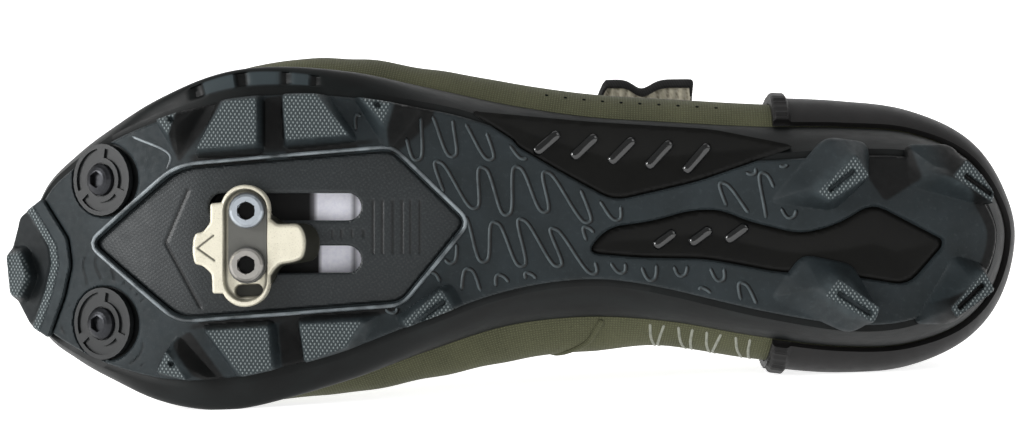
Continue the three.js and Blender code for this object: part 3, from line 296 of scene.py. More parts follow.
def volume_of(points, faces):
    """Signed volume from the fans of all faces."""
    a, total = points[faces[:, 0]], 0.0
    for k in range(1, faces.shape[1] - 1):
        total += np.einsum("ij,ij->i", a, np.cross(points[faces[:, k]], points[faces[:, k + 1]])).sum()
    return total / 6


def piece(name, points, faces, finish, stands_for=(), flat_map=None, marks=None, sharp=40, closed=True):
    """A mesh object from arrays, riding on the shoe's one body."""
    if closed and volume_of(points, faces) < 0:
        faces = faces[:, ::-1]
    mesh = bpy.data.meshes.new(name)
    mesh.from_pydata(to_frame(points).tolist(), [], faces.tolist())
    if flat_map is not None:
        layer = mesh.uv_layers.new(name="flat")
        corner = np.empty(len(mesh.loops), dtype=np.int32)
        mesh.loops.foreach_get("vertex_index", corner)
        layer.data.foreach_set("uv", (np.asarray(flat_map)[corner] * MM).astype(np.float32).ravel())
    for key, values in (marks or {}).items():
        mesh.attributes.new(key, "FLOAT", "POINT").data.foreach_set("value", np.asarray(values, np.float32).ravel())
    work = bmesh.new()
    work.from_mesh(mesh)
    bmesh.ops.remove_doubles(work, verts=work.verts, dist=2e-6)
    bmesh.ops.dissolve_degenerate(work, edges=work.edges, dist=1e-6)
    work.to_mesh(mesh)
    work.free()
    mesh.polygons.foreach_set("use_smooth", np.ones(len(mesh.polygons), dtype=bool))
    mesh.set_sharp_from_angle(angle=math.radians(sharp))
    mesh.materials.append(finish)
    thing = bpy.data.objects.new(name, mesh)
    bpy.context.scene.collection.objects.link(thing)
    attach(thing, "root")
    if stands_for:
        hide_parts(*stands_for)
    print(f"{name}: {len(mesh.polygons)} faces")
    return thing


def slab(name, top, under, finish, stands_for=(), marks=None, sharp=50):
    """Closed slab between two grids of points: faces round the section and a strip of faces at each end."""
    n, m = top.shape[:2]
    points = np.concatenate([top, under[:, ::-1]], axis=1)
    faces = [grid_faces(n, 2 * m, False, True)]
    k = np.arange(m - 1)
    for end in (0, n - 1):
        cap = np.stack([k, k + 1, 2 * m - 2 - k, 2 * m - 1 - k], axis=1) + end * 2 * m
        faces.append(cap if end else cap[:, ::-1])
    along = np.linalg.norm(np.diff(top[:, m // 2], axis=0), axis=-1)
    along = np.concatenate([[0], np.cumsum(along)])
    across = np.linalg.norm(np.diff(points, axis=1), axis=-1)
    across = np.concatenate([np.zeros((n, 1)), np.cumsum(across, axis=1)], axis=1)
    flat = np.stack([np.repeat(along[:, None], 2 * m, 1), across], axis=-1).reshape(-1, 2)
    return piece(name, points.reshape(-1, 3), np.vstack(faces), finish, stands_for, flat, marks, sharp)


# Way towards the heel; a raised line's side turned this way is painted in shade.
SHADE_SIDE = np.array([-1.0, 0.0, 0.0])


def tubes(name, paths, across, up, finish, loop=False, ring=10):
    """Flattened tubes along paths of centres and ways up. Ends are round: size = sqrt(1 - (1 - d / across)^2)."""
    points, faces, flats, painted_shade_side, start = [], [], [], [], 0
    angle = np.arange(ring) / ring * 2 * np.pi
    for centre, way in paths:
        n = len(centre)
        gone = np.concatenate([[0], np.cumsum(np.linalg.norm(np.diff(centre, axis=0), axis=-1))])
        if loop:
            run = np.roll(centre, -1, axis=0) - np.roll(centre, 1, axis=0)
            size = np.ones(n)
        else:
            run = np.gradient(centre, axis=0)
            size = np.sqrt(1 - np.clip(1 - np.minimum(gone, gone[-1] - gone) / across, 0, 1) ** 2)
        side = unit(np.cross(way, unit(run)))
        swing = np.cos(angle)[None, :, None] * across * side[:, None] + np.sin(angle)[None, :, None] * up * way[:, None]
        points.append((centre[:, None] + swing * size[:, None, None]).reshape(-1, 3))
        # The side turned towards the heel is marked for painted shade, which the ridge finish paints black.
        painted_shade_side.append(smooth(-0.3, 0.3, (unit(swing) @ SHADE_SIDE).ravel()))
        faces.append(grid_faces(n, ring, loop, True) + start)
        flats.append(np.stack([np.repeat(gone[:, None], ring, 1), np.repeat(angle[None, :] * across, n, 0)], -1).reshape(-1, 2))
        start += n * ring
    return piece(name, np.vstack(points), np.vstack(faces), finish, (), np.vstack(flats), {"painted_shade_side": np.concatenate(painted_shade_side)}, 60)


# %% [markdown]
# ## Outlines on the sole
# The tread is a plan with depth: looked at along the ground's normal nothing hides behind
# anything else. So rubber, plate and cleat are each a fine square grid over the plan. A
# signed distance tells how far a point is from an outline. Grid points close to the
# outline are moved onto it, which gives clean cut edges from a square grid.

# %% Signed distances and cut sheets
def corners(rows):
    """Corners given as shares of the length and of the sole's half width."""
    return np.array(rows, float) * [LENGTH, WIDTH / 2]


def softened(outline, radius, steps=4):
    """Each corner replaced by a parabola that starts and ends a radius away."""
    before, after = np.roll(outline, 1, axis=0), np.roll(outline, -1, axis=0)
    back, ahead = before - outline, after - outline
    reach = np.minimum(radius, 0.45 * np.minimum(np.linalg.norm(back, axis=1), np.linalg.norm(ahead, axis=1)))[:, None]
    start, end = outline + unit(back) * reach, outline + unit(ahead) * reach
    t = np.linspace(0, 1, steps + 1)[None, :, None]
    bend = (1 - t) ** 2 * start[:, None] + 2 * t * (1 - t) * outline[:, None] + t**2 * end[:, None]
    return bend.reshape(-1, 2)


def distance(outline, x, y):
    """Signed distance to a closed outline: nearest of its edges, negative inside by crossing count."""
    nearest = np.full(x.shape, np.inf)
    inside = np.zeros(x.shape, dtype=bool)
    for (ax, ay), (bx, by) in zip(outline, np.roll(outline, -1, axis=0)):
        ex, ey = bx - ax, by - ay
        along = np.clip(((x - ax) * ex + (y - ay) * ey) / max(ex * ex + ey * ey, 1e-9), 0, 1)
        nearest = np.minimum(nearest, (x - ax - along * ex) ** 2 + (y - ay - along * ey) ** 2)
        if ay != by:
            crosses = ((ay > y) != (by > y)) & (x < (bx - ax) * (y - ay) / (by - ay) + ax)
            inside ^= crosses
    return np.sqrt(nearest) * np.where(inside, -1, 1)


def capsule(x, y, start, end, radius):
    """Signed distance to a stroke with round ends."""
    (ax, ay), (bx, by) = start, end
    ex, ey = bx - ax, by - ay
    along = np.clip(((x - ax) * ex + (y - ay) * ey) / max(ex * ex + ey * ey, 1e-9), 0, 1)
    return np.hypot(x - ax - along * ex, y - ay - along * ey) - radius


def smooth(low, high, value):
    """Smooth step from 0 at low to 1 at high."""
    t = np.clip((value - low) / (high - low), 0, 1)
    return t * t * (3 - 2 * t)


def cut_sheet(where, reach, cell, low, high):
    """Closed sheet over the plan inside where < 0: lower face, upper face and walls at its edges."""
    x0, y0, x1, y1 = reach
    xs, ys = np.arange(x0, x1 + cell, cell), np.arange(y0, y1 + cell, cell)
    x, y = [g.astype(float) for g in np.meshgrid(xs, ys, indexing="ij")]
    d = where(x, y)
    gx, gy = np.gradient(d, cell)
    size = np.maximum(gx**2 + gy**2, 0.2)
    near = np.abs(d) < 0.71 * cell
    x = np.where(near, x - d * gx / size, x)
    y = np.where(near, y - d * gy / size, y)
    n, m = x.shape
    quads = grid_faces(n, m)
    tris = np.vstack([quads[:, [0, 1, 2]], quads[:, [0, 2, 3]]])
    flag = (near | (d < 0)).ravel()
    tris = tris[flag[tris].all(axis=1)]
    px, py = x.ravel(), y.ravel()
    mid = d.ravel()[tris].mean(axis=1)
    a, b, c = tris.T
    area = (px[b] - px[a]) * (py[c] - py[a]) - (px[c] - px[a]) * (py[b] - py[a])
    tris = tris[(area > 0.02 * cell * cell) & (mid < 0.05 * cell)]
    used, tris = np.unique(tris, return_inverse=True)
    tris = tris.reshape(-1, 3)
    px, py = px[used], py[used]
    count = len(px)
    edges = np.vstack([tris[:, [0, 1]], tris[:, [1, 2]], tris[:, [2, 0]]])
    key = np.sort(edges, axis=1)
    _, first, times = np.unique(key[:, 0] * count + key[:, 1], return_index=True, return_counts=True)
    border = edges[first[times == 1]]
    bottom = np.stack([px, py, low(px, py)], axis=1)
    top = np.stack([px, py, high(px, py)], axis=1)
    e0, e1 = border.T
    walls = np.vstack([np.stack([e0, e1, e1 + count], axis=1), np.stack([e0, e1 + count, e0 + count], axis=1)])
    faces = np.vstack([tris[:, ::-1], tris + count, walls])
    return np.vstack([bottom, top]), faces


# %% [markdown]
# ## Colours and finishes
# The finishes are procedural. Each starts from one colour, mottles it with soft noise,
# roughens it with a second noise, and adds grain by bump. Sizes are real: a scale of 1000
# in the map of metres is a millimetre. A mark stored on the mesh says where a finish
# changes, so painted shade on ramps and in grooves, and knurled lug tops, follow the shape.

# %% Small tools for finishes
def srgb(r, g, b, alpha=1.0):
    """Linear colour from the 0 to 255 values of a screen."""
    c = np.array([r, g, b]) / 255
    return tuple(np.where(c <= 0.04045, c / 12.92, ((c + 0.055) / 1.055) ** 2.4)) + (alpha,)


class Finish:
    """A Principled material and short calls for the nodes that feed it."""

    def __init__(self, name, colour, roughness, metal=0.0, coat=0.0, sheen=0.0, flat=False, gloss=0.5):
        self.material = bpy.data.materials.new(name)
        self.material.use_nodes = True
        self.tree = self.material.node_tree
        self.shader = self.tree.nodes["Principled BSDF"]
        self.shader.inputs["Base Color"].default_value = colour
        self.shader.inputs["Roughness"].default_value = roughness
        self.shader.inputs["Metallic"].default_value = metal
        self.shader.inputs["Coat Weight"].default_value = coat
        self.shader.inputs["Sheen Weight"].default_value = sheen
        self.shader.inputs["Specular IOR Level"].default_value = gloss
        self.material.diffuse_color = colour
        if flat:
            self.where = self.node("ShaderNodeUVMap", uv_map="flat").outputs[0]
        else:
            self.where = self.node("ShaderNodeTexCoord").outputs["Object"]
        self.colour, self.height = None, None

    def node(self, kind, **settings):
        made = self.tree.nodes.new(kind)
        for key, value in settings.items():
            setattr(made, key, value)
        return made

    def put(self, socket, value):
        if isinstance(value, bpy.types.NodeSocket):
            self.tree.links.new(value, socket)
        elif value is not None:
            socket.default_value = value

    def noise(self, scale, detail=3.0, roughness=0.55, stretch=None, distortion=0.0):
        made = self.node("ShaderNodeTexNoise")
        where = self.where
        if stretch:
            mapping = self.node("ShaderNodeMapping")
            mapping.inputs["Scale"].default_value = stretch
            self.put(mapping.inputs["Vector"], where)
            where = mapping.outputs[0]
        self.put(made.inputs["Vector"], where)
        for key, value in (("Scale", scale), ("Detail", detail), ("Roughness", roughness), ("Distortion", distortion)):
            made.inputs[key].default_value = value
        return made.outputs["Fac"]

    def cells(self, scale, feature="F1", output="Distance", stretch=None, turn=0.0):
        made = self.node("ShaderNodeTexVoronoi", feature=feature)
        where = self.where
        if stretch or turn:
            mapping = self.node("ShaderNodeMapping")
            mapping.inputs["Scale"].default_value = stretch or (1, 1, 1)
            mapping.inputs["Rotation"].default_value = (0, 0, turn)
            self.put(mapping.inputs["Vector"], where)
            where = mapping.outputs[0]
        self.put(made.inputs["Vector"], where)
        made.inputs["Scale"].default_value = scale
        return made.outputs[output]

    def waves(self, scale, turn=0.0, distortion=0.0, profile="SIN", detail_scale=1.0):
        made = self.node("ShaderNodeTexWave", wave_type="BANDS", bands_direction="X", wave_profile=profile)
        mapping = self.node("ShaderNodeMapping")
        mapping.inputs["Rotation"].default_value = (0, 0, turn)
        self.put(mapping.inputs["Vector"], self.where)
        self.put(made.inputs["Vector"], mapping.outputs[0])
        for key, value in (("Scale", scale), ("Distortion", distortion), ("Detail", 1.0), ("Detail Scale", detail_scale)):
            made.inputs[key].default_value = value
        return made.outputs["Fac"]

    def mark(self, name):
        return self.node("ShaderNodeAttribute", attribute_name=name).outputs["Fac"]

    def fit(self, value, low, high, to_low=0.0, to_high=1.0):
        made = self.node("ShaderNodeMapRange", clamp=True)
        for key, number in (("From Min", low), ("From Max", high), ("To Min", to_low), ("To Max", to_high)):
            made.inputs[key].default_value = number
        self.put(made.inputs["Value"], value)
        return made.outputs["Result"]

    def sum(self, a, b, operation="ADD"):
        made = self.node("ShaderNodeMath", operation=operation)
        self.put(made.inputs[0], a)
        self.put(made.inputs[1], b)
        return made.outputs[0]

    def tint(self, amount, colour, blend="MIX"):
        """Mixes a colour over what the finish has so far, by an amount."""
        made = self.node("ShaderNodeMix", data_type="RGBA", blend_type=blend)
        self.put(made.inputs[0], amount)
        base = self.colour if self.colour is not None else tuple(self.shader.inputs["Base Color"].default_value)
        self.put(made.inputs[6], base)
        self.put(made.inputs[7], colour)
        self.colour = made.outputs[2]
        self.put(self.shader.inputs["Base Color"], self.colour)
        return self

    def rough(self, value, low, high):
        """Roughness from low to high as a pattern goes from 0 to 1."""
        self.put(self.shader.inputs["Roughness"], self.fit(value, 0, 1, low, high))
        return self

    def bump(self, value, depth_mm, strength=1.0):
        """Adds relief of a real depth."""
        made = self.node("ShaderNodeBump")
        made.inputs["Strength"].default_value = strength
        made.inputs["Distance"].default_value = depth_mm * MM
        self.put(made.inputs["Height"], value)
        if self.height is not None:
            self.put(made.inputs["Normal"], self.height)
        self.height = made.outputs["Normal"]
        self.put(self.shader.inputs["Normal"], self.height)
        return self


print("finish helper ready")

# %% [markdown]
# ## Rubber
# The tread is blue-grey rubber with a matt, slightly dusty skin. Near-black painted shade
# lies on the ramps beside some lugs and in grooves, and the lug tops are knurled with small
# diamonds. All three come from marks on the mesh: ramp, knurl and low, the last one painted
# light and shade: dark where the rubber lies deep, lighter towards the lug tops.

# %% Rubber finish
tread = Finish("tread_rubber", srgb(34, 41, 44), 0.6, flat=True, gloss=0.22)
tread.tint(tread.fit(tread.noise(90, 4), 0.35, 0.7), srgb(27, 33, 35))
tread.tint(tread.fit(tread.noise(700, 3, 0.7), 0.56, 0.74, 0, 0.3), srgb(62, 70, 73))
# Painted light: the high mark makes the rubber lighter, mottled, towards the lug tops and on the bumper behind its
# strip.
tread.tint(tread.sum(tread.mark("high"), tread.fit(tread.noise(240, 4, 0.7), 0.35, 0.7, 0.1, 0.6), "MULTIPLY"), srgb(70, 79, 82))
dots = tread.sum(tread.waves(350, 0.55), tread.waves(350, -0.62), "MULTIPLY")
dots = tread.sum(tread.fit(dots, 0.2, 0.62), tread.mark("knurl"), "MULTIPLY")
tread.tint(tread.sum(tread.mark("knurl"), 0.8, "MULTIPLY"), srgb(50, 58, 60))
tread.tint(tread.sum(dots, 0.85, "MULTIPLY"), srgb(128, 136, 137))
# Painted shade: near black beside some lugs, in grooves, in the bumper's hollow and along the heel's outline.
tread.tint(tread.mark("black"), srgb(4, 5, 5))
tread.rough(tread.fit(tread.noise(500), 0.3, 0.7), 0.5, 0.68)
tread.bump(tread.noise(2600, 3, 0.7), 0.04, 0.6)
tread.bump(dots, 0.25, 1.0)
print("rubber finish with", len(tread.tree.nodes), "nodes")

# %% [markdown]
# ## The tread as one depth map
# Lugs are moulded in one piece with the skin. Each has a tread face and a wider foot, and
# its height between them is the share of the way from foot to face. Fine engraved waves on
# the inner toe pad are level lines of a bent slope. Edges are rounded off.

# %% Outlines of the tread
PLATE = softened(corners([
    [0.909, -0.009], [0.826, 0.404], [0.809, 0.446], [0.612, 0.55], [0.541, 0.123], [0.603, -0.35],
    [0.811, -0.445], [0.824, -0.415],
]), 2.5)
OUTER_PANEL = softened(corners([
    [0.541, 0.798], [0.495, 0.617], [0.49, 0.575], [0.446, 0.418], [0.396, 0.249], [0.349, 0.316], [0.312, 0.37],
    [0.215, 0.581], [0.3, 0.69], [0.42, 0.735],
]), 4)
INNER_PANEL = softened(corners([
    [0.424, -0.065], [0.402, 0.092], [0.358, 0.129], [0.321, 0.195], [0.292, 0.201], [0.265, 0.129], [0.214, 0.05],
    [0.18, 0.11], [0.146, 0.238], [0.078, 0.02], [0.078, -0.025], [0.111, -0.259], [0.17, -0.2], [0.237, -0.18],
    [0.272, -0.138], [0.306, -0.101], [0.37, -0.095],
]), 4)
BUMPER = softened(corners([
    [0.997, 0.15], [0.968, 0.27], [0.938, 0.02], [0.934, -0.14], [0.942, -0.335], [0.96, -0.6], [0.984, -0.52],
    [1.004, -0.33], [1.007, -0.09],
]), 1.2)
RUBBER, GAP = 2.2, 0.3
LUGS = [  # drop, tread face, foot
    (5.2, [[0.839, 0.75], [0.812, 0.848], [0.824, 0.638]], [[0.844, 0.76], [0.782, 0.88], [0.818, 0.5]]),
    (6.2, [[0.769, 0.833], [0.738, 0.851], [0.738, 0.581], [0.797, 0.549]],
     [[0.776, 0.88], [0.733, 0.895], [0.733, 0.52], [0.802, 0.5]]),
    (6.2, [[0.713, 0.869], [0.682, 0.883], [0.65, 0.634], [0.71, 0.604]],
     [[0.718, 0.9], [0.676, 0.915], [0.642, 0.6], [0.714, 0.545]]),
    (6.0, [[0.648, 0.915], [0.61, 0.839], [0.618, 0.704]], [[0.655, 0.935], [0.572, 0.87], [0.616, 0.53]]),
    (5.2, [[0.827, -0.635], [0.805, -0.812], [0.836, -0.765]], [[0.818, -0.54], [0.77, -0.86], [0.842, -0.79]]),
    (6.2, [[0.787, -0.514], [0.727, -0.49], [0.723, -0.74], [0.752, -0.781]],
     [[0.796, -0.49], [0.722, -0.455], [0.717, -0.77], [0.755, -0.83]]),
    (6.2, [[0.697, -0.476], [0.638, -0.458], [0.653, -0.611], [0.692, -0.699]],
     [[0.702, -0.44], [0.618, -0.41], [0.645, -0.66], [0.694, -0.74]]),
    (6.0, [[0.563, -0.273], [0.552, -0.39], [0.589, -0.538], [0.6, -0.464]],
     [[0.555, -0.23], [0.54, -0.385], [0.588, -0.58], [0.61, -0.45]]),
    (9.0, [[0.169, 0.516], [0.156, 0.393], [0.193, 0.249], [0.205, 0.301]],
     [[0.192, 0.636], [0.15, 0.6], [0.15, 0.397], [0.184, 0.19], [0.246, 0.24]]),
    (9.0, [[0.064, 0.493], [0.028, 0.299], [0.036, 0.229], [0.078, 0.393]],
     [[0.116, 0.59], [0.07, 0.59], [0.034, 0.29], [0.039, 0.224], [0.111, 0.33]]),
    (9.0, [[0.185, -0.212], [0.198, -0.311], [0.152, -0.47], [0.146, -0.382]],
     [[0.213, -0.07], [0.245, -0.337], [0.169, -0.55], [0.14, -0.45], [0.165, -0.13]]),
    (9.0, [[0.046, -0.165], [0.034, -0.282], [0.074, -0.44], [0.08, -0.382]],
     [[0.068, -0.07], [0.034, -0.14], [0.034, -0.29], [0.068, -0.49], [0.108, -0.49]]),
]
SLITS = [  # start, end and half width, mm
    ((52.2, 13.9), (46.6, 18.4), 0.6), ((17.2, 17.3), (10.7, 12.9), 0.6), ((49.9, -13.2), (42.4, -18.1), 0.65),
    ((19.0, -16.5), (13.0, -11.1), 0.6), ((159.8, -20.6), (152.7, -15.5), 0.7), ((223.8, 32.2), (223.3, 32.0), 0.55),
    ((169.9, 35.9), (169.4, 35.7), 0.55), ((223.6, -31.5), (223.1, -31.6), 0.55),
]
STUDS = corners([[0.896, 0.379], [0.895, -0.494]])
PAD = corners([[0.866, 0.64], [0.826, 0.52], [0.829, 0.435]])
PLUG = 9.6


def rim_ring(extra, number=220):
    """Closed outline inside the seam by the underside's inset and something extra."""
    share = np.arange(number) / number
    seam, outward, _, _ = place(share)
    a = seam[:, 0] / LENGTH
    inset = np.where(share <= 0.5, inset_out(a), inset_inn(a)) * WIDTH + extra
    return seam - outward * inset[:, None]


SOLE_EDGE = rim_ring(1.8)
print("tread outline, mm:", np.round(SOLE_EDGE.min(0), 1), np.round(SOLE_EDGE.max(0), 1))

# %% Depth of the tread
def skin_low(x):
    """Face of the rubber skin, a clearance and its thickness under the shell."""
    return underside(x) - GAP - RUBBER


def tread_area(x, y):
    """Signed distance to the rubber: the sole's outline less its windows, plus the heel lugs."""
    area = distance(SOLE_EDGE, x, y)
    for hole in (PLATE, OUTER_PANEL, INNER_PANEL):
        area = np.maximum(area, -distance(hole, x, y))
    area = np.maximum(area, -(distance(BUMPER, x, y) - GAP))
    for sx, sy in STUDS:
        area = np.maximum(area, PLUG + GAP - np.hypot(x - sx, y - sy))
    for _, _, foot in LUGS[8:]:
        area = np.minimum(area, distance(softened(corners(foot), 3), x, y))
    return area


def ripples(x, y):
    """Fine engraved waves on the inner toe pad: level lines of a bent slope, 3.4 mm apart."""
    f = (x + 0.5 * y + 1.8 * np.sin(y / 2.6) + 1.1 * np.sin(x / 4.0 + y / 5.0)) / 3.4
    return 1 - smooth(0.04, 0.13, np.abs(f - np.round(f)))


def tread_low(x, y, marks=None):
    """Lowest of the skin and the lugs. A lug's height is foot / (foot + face) of the two distances."""
    skin = skin_low(x)
    z = skin.copy()
    knurl, high = np.zeros_like(x), np.zeros_like(x)
    for drop, face, foot in LUGS:
        shape, base = softened(corners(face), 0.7), softened(corners(foot), 2.5)
        cx = shape[:, 0].mean()
        slope = (underside(cx + 4) - underside(cx - 4)) / 8
        level = np.maximum(max(float(skin_low(np.array(cx))) - drop, 0) + slope * (x - cx), 0)
        to_face, to_foot = distance(shape, x, y), distance(base, x, y)
        outside, within = np.maximum(to_face, 0), np.maximum(-to_foot, 0)
        t = np.where(outside <= 0, 1, within / np.maximum(within + outside, 1e-6))
        t = 0.72 * t + 0.28 * smooth(0, 1, t)
        z = np.minimum(z, skin + (level - skin) * t)
        knurl = np.maximum(knurl, 1 - smooth(-0.35, 0.1, to_face))
        high = np.maximum(high, smooth(0.55, 1.0, t))
    for start, end, radius in SLITS:
        slit = 1 - smooth(-0.25, 0.35, capsule(x, y, start, end, radius))
        z, knurl = z + 1.6 * slit, knurl * (1 - slit)
    area = tread_area(x, y)
    front = smooth(0.845, 0.86, x / LENGTH) * smooth(-2, -5, y) * smooth(1.6, 2.2, -area)
    engraved = front * ripples(x, y)
    z = z + 0.25 * engraved
    to_plate = distance(PLATE, x, y)
    # Painted shadow: a band beside the plate's window, where the step from the lugs to the plate leaves a shadow gap.
    plate_shadow_gap = (1 - smooth(0.4, 0.9, np.abs(to_plate - 2.6))) * smooth(0.62, 0.64, x / LENGTH) * (1 - smooth(0.8, 0.81, x / LENGTH))
    if marks is not None:
        # The upper part of each lug gets painted light; the shadow gap and the engraved ripples get painted shade.
        marks["knurl"], marks["high"] = knurl, high * 0.8
        marks["groove"] = np.maximum(plate_shadow_gap, 0.8 * engraved)
    return z


def rounded_edge(depth, radius):
    """How far an edge has dropped away: nothing a radius inside, all of it at the edge, a quarter circle between."""
    t = np.clip(1 - depth / radius, 0, 1)
    return radius * (1 - np.sqrt(1 - t * t))


def tread_bottom(x, y):
    """The tread's face with its cut edges rounded."""
    edge = rounded_edge(-tread_area(x, y), 0.9)
    return tread_low(x, y) + edge


# Outlines of rubber painted near black as shade beside some lugs.
SHADE_OUTLINES = [softened(corners(rows), 1.5) for rows in (
    [[0.815, 0.86], [0.772, 0.88], [0.775, 0.8], [0.817, 0.47], [0.826, 0.6]],
    [[0.607, 0.845], [0.568, 0.87], [0.572, 0.72], [0.612, 0.5], [0.616, 0.66]],
    [[0.8, -0.8], [0.77, -0.86], [0.768, -0.83], [0.806, -0.52], [0.824, -0.6]],
    [[0.803, 0.52], [0.732, 0.54], [0.73, 0.47], [0.806, 0.44]], [[0.714, 0.57], [0.645, 0.6], [0.64, 0.54], [0.712, 0.49]],
    [[0.735, 0.86], [0.714, 0.88], [0.714, 0.55], [0.735, 0.55]], [[0.72, -0.47], [0.7, -0.44], [0.694, -0.74], [0.716, -0.77]],
    [[0.15, 0.66], [0.115, 0.66], [0.1, 0.38], [0.135, 0.24], [0.152, 0.39]],
    [[0.8, -0.46], [0.615, -0.36], [0.6, -0.4], [0.63, -0.44], [0.72, -0.47], [0.795, -0.5]],
)]


def painted_shade_places(x, y):
    """Where the rubber is painted near black as shade: beside some lugs, in grooves and along the outline of the heel.
    """
    black = np.zeros_like(x)
    for outline in SHADE_OUTLINES:
        black = np.maximum(black, 1 - smooth(-0.5, 0.3, distance(outline, x, y)))
    heel_rim_shade = smooth(-3.4, -2.6, distance(SOLE_EDGE, x, y)) * (1 - smooth(0.075, 0.1, x / LENGTH))
    return np.maximum(black, heel_rim_shade)


cell = 0.37
reach = (-1, -47, 275, 47)
CUT = 150.0
for name, sign, stands_for in (("tread_forefoot", -1, ["outsole"]), ("tread_heel", 1, ["outsole"])):
    points, faces = cut_sheet(
        lambda x, y: np.maximum(tread_area(x, y), sign * (x - CUT)), reach, cell, tread_bottom,
        lambda x, y: underside(x) - GAP + 0 * y)
    marks = {}
    tread_low(points[:, 0], points[:, 1], marks)
    # Painted shade, near black: beside lugs, along the heel's rim and in the grooves.
    marks["black"] = np.maximum(painted_shade_places(points[:, 0], points[:, 1]) * (1 - marks["knurl"]), marks.pop("groove") * 0.8)
    piece(name, points, faces, tread.material, stands_for, points[:, :2], marks, 32)

# %% [markdown]
# ## Raised lines of the rubber
# The waist is covered with thin raised lines that swing up and down in long, leaning loops.
# Their side towards the heel is painted black as shade.
# They are thin tubes half sunk in the skin, which keeps them crisp at any grid size. Rows
# of zigzags are drawn with rounded turns and cut where rubber ends or a lug begins. The
# same kind of line, painted light grey as a highlight, frames the plate's window and one toe pad.

# %% Lines on the rubber
ridge_rubber = Finish("tread_ridge", srgb(66, 75, 78), 0.5, flat=True, gloss=0.4)
ridge_rubber.tint(ridge_rubber.fit(ridge_rubber.noise(300, 3), 0.4, 0.7), srgb(44, 52, 55))
# Painted shade: the side of each raised line turned towards the heel is near black.
ridge_rubber.tint(ridge_rubber.mark("painted_shade_side"), srgb(3, 4, 4))
ridge_rubber.bump(ridge_rubber.noise(1500, 2), 0.03, 0.6)
# Painted highlight: the frame lines are light grey, standing in for light caught along the lip of the plate's window
# and the toe pad's line.
highlight_rubber = Finish("plate_frame_highlight", srgb(120, 128, 132), 0.36, flat=True, gloss=0.6)
highlight_rubber.tint(highlight_rubber.fit(highlight_rubber.noise(90, 4), 0.42, 0.62), srgb(44, 50, 53))
highlight_rubber.bump(highlight_rubber.noise(1500, 2), 0.03, 0.6)


def zigzag(row, middle, half, step):
    """Row of loops: corners swing from side to side, lean forward and are rounded by two near points."""
    xs = np.arange(40 + 3 * row, 196, step)
    swing = np.where(np.arange(len(xs)) % 2, 1, -1) * (0.85 + 0.13 * np.sin(xs * 0.37 + 1.7 * row))
    ys = middle + 2.2 * np.sin(xs / 19) + half * swing
    xs = xs + 1.3 * np.sin(xs * 0.83 + row) + 0.34 * half * swing
    turn = np.stack([np.stack([xs - 0.9, ys], -1), np.stack([xs + 0.9, ys + 0.25 * swing], -1)], axis=1)
    return catmull_rom(turn.reshape(-1, 2), 16)


def on_skin(rows):
    """Centres on the skin's face and the way out of it, which is down."""
    way = np.zeros((len(rows), 3))
    way[:, 2] = -1
    return np.column_stack([rows, skin_low(rows[:, 0]) + 0.05]), way


lines = []
for row, (middle, half, step) in enumerate(((26.0, 6.4, 4.3), (12.3, 6.6, 4.7), (-1.6, 6.4, 4.4), (-15.0, 5.8, 4.6))):
    path = zigzag(row, middle, half, step)
    free = -tread_area(path[:, 0], path[:, 1]) - 1.2
    for _, _, foot in LUGS:
        free = np.minimum(free, distance(softened(corners(foot), 2.5), path[:, 0], path[:, 1]) - 0.6)
    free = (free > 0) & (path[:, 0] > 58) & (path[:, 0] < 184)
    for run in np.split(np.arange(len(path)), np.flatnonzero(np.diff(free)) + 1):
        if free[run[0]] and len(run) > 14:
            lines.append(on_skin(path[run]))
tubes("waist_lines", lines, 0.56, 0.45, ridge_rubber.material, ring=10)
around = np.vstack([PLATE, PLATE[:1]])
gone = np.concatenate([[0], np.cumsum(np.linalg.norm(np.diff(around, axis=0), axis=1))])
even = np.arange(0, gone[-1], 1.0)
around = np.stack([np.interp(even, gone, around[:, k]) for k in (0, 1)], -1)
away = np.roll(around, -1, axis=0) - np.roll(around, 1, axis=0)
away = unit(np.stack([away[:, 1], -away[:, 0]], -1))
away *= np.sign(distance(PLATE, *(around + away).T))[:, None]
tubes("plate_window_rim", [on_skin(around + 1.0 * away)], 0.5, 0.5, highlight_rubber.material, loop=True, ring=8)
tubes("toe_pad_line", [on_skin(catmull_rom(PAD, 14))], 0.35, 0.32, highlight_rubber.material, ring=8)

# %% [markdown]
# ## Shell, plate and panels
# The shell is a stiff black cup with a raised rim. Its side wall is a ring: a closed
# profile carried round the seam. The floor with its two slots is a cut sheet inside the
# ring. In the window of the tread a thin plate shows a fine weave under a satin coat, and
# two more windows show plain glossy panels.

# %% Shell finishes
wall_black = Finish("shell_wall_black", srgb(11, 13, 13), 0.42, flat=True, gloss=0.18)
wall_black.tint(wall_black.fit(wall_black.noise(60, 4), 0.4, 0.7), srgb(19, 23, 23))
wall_black.tint(wall_black.mark("block"), srgb(52, 60, 63))
# Painted shade: the pockets between the ladder's blocks are near black.
wall_black.tint(wall_black.mark("notch"), srgb(4, 5, 5))
wall_black.rough(wall_black.noise(220, 4, 0.6), 0.34, 0.6)
wall_black.bump(wall_black.noise(1500, 2), 0.03, 0.6)

weave_black = Finish("plate_weave", srgb(31, 35, 37), 0.45, coat=0.05, flat=True, gloss=0.3)
over = weave_black.waves(330, 0.6)
under = weave_black.waves(330, 0.6 + math.pi / 2)
crossed = weave_black.sum(over, under, "MULTIPLY")
weave_black.tint(weave_black.fit(crossed, 0.15, 0.6, 0, 0.3), srgb(50, 54, 54))
weave_black.tint(weave_black.fit(weave_black.noise(40, 4), 0.5, 0.8, 0, 0.5), srgb(22, 23, 23))
weave_black.tint(weave_black.fit(weave_black.noise(1500, 3, 0.7), 0.52, 0.75, 0, 0.5), srgb(66, 71, 72))
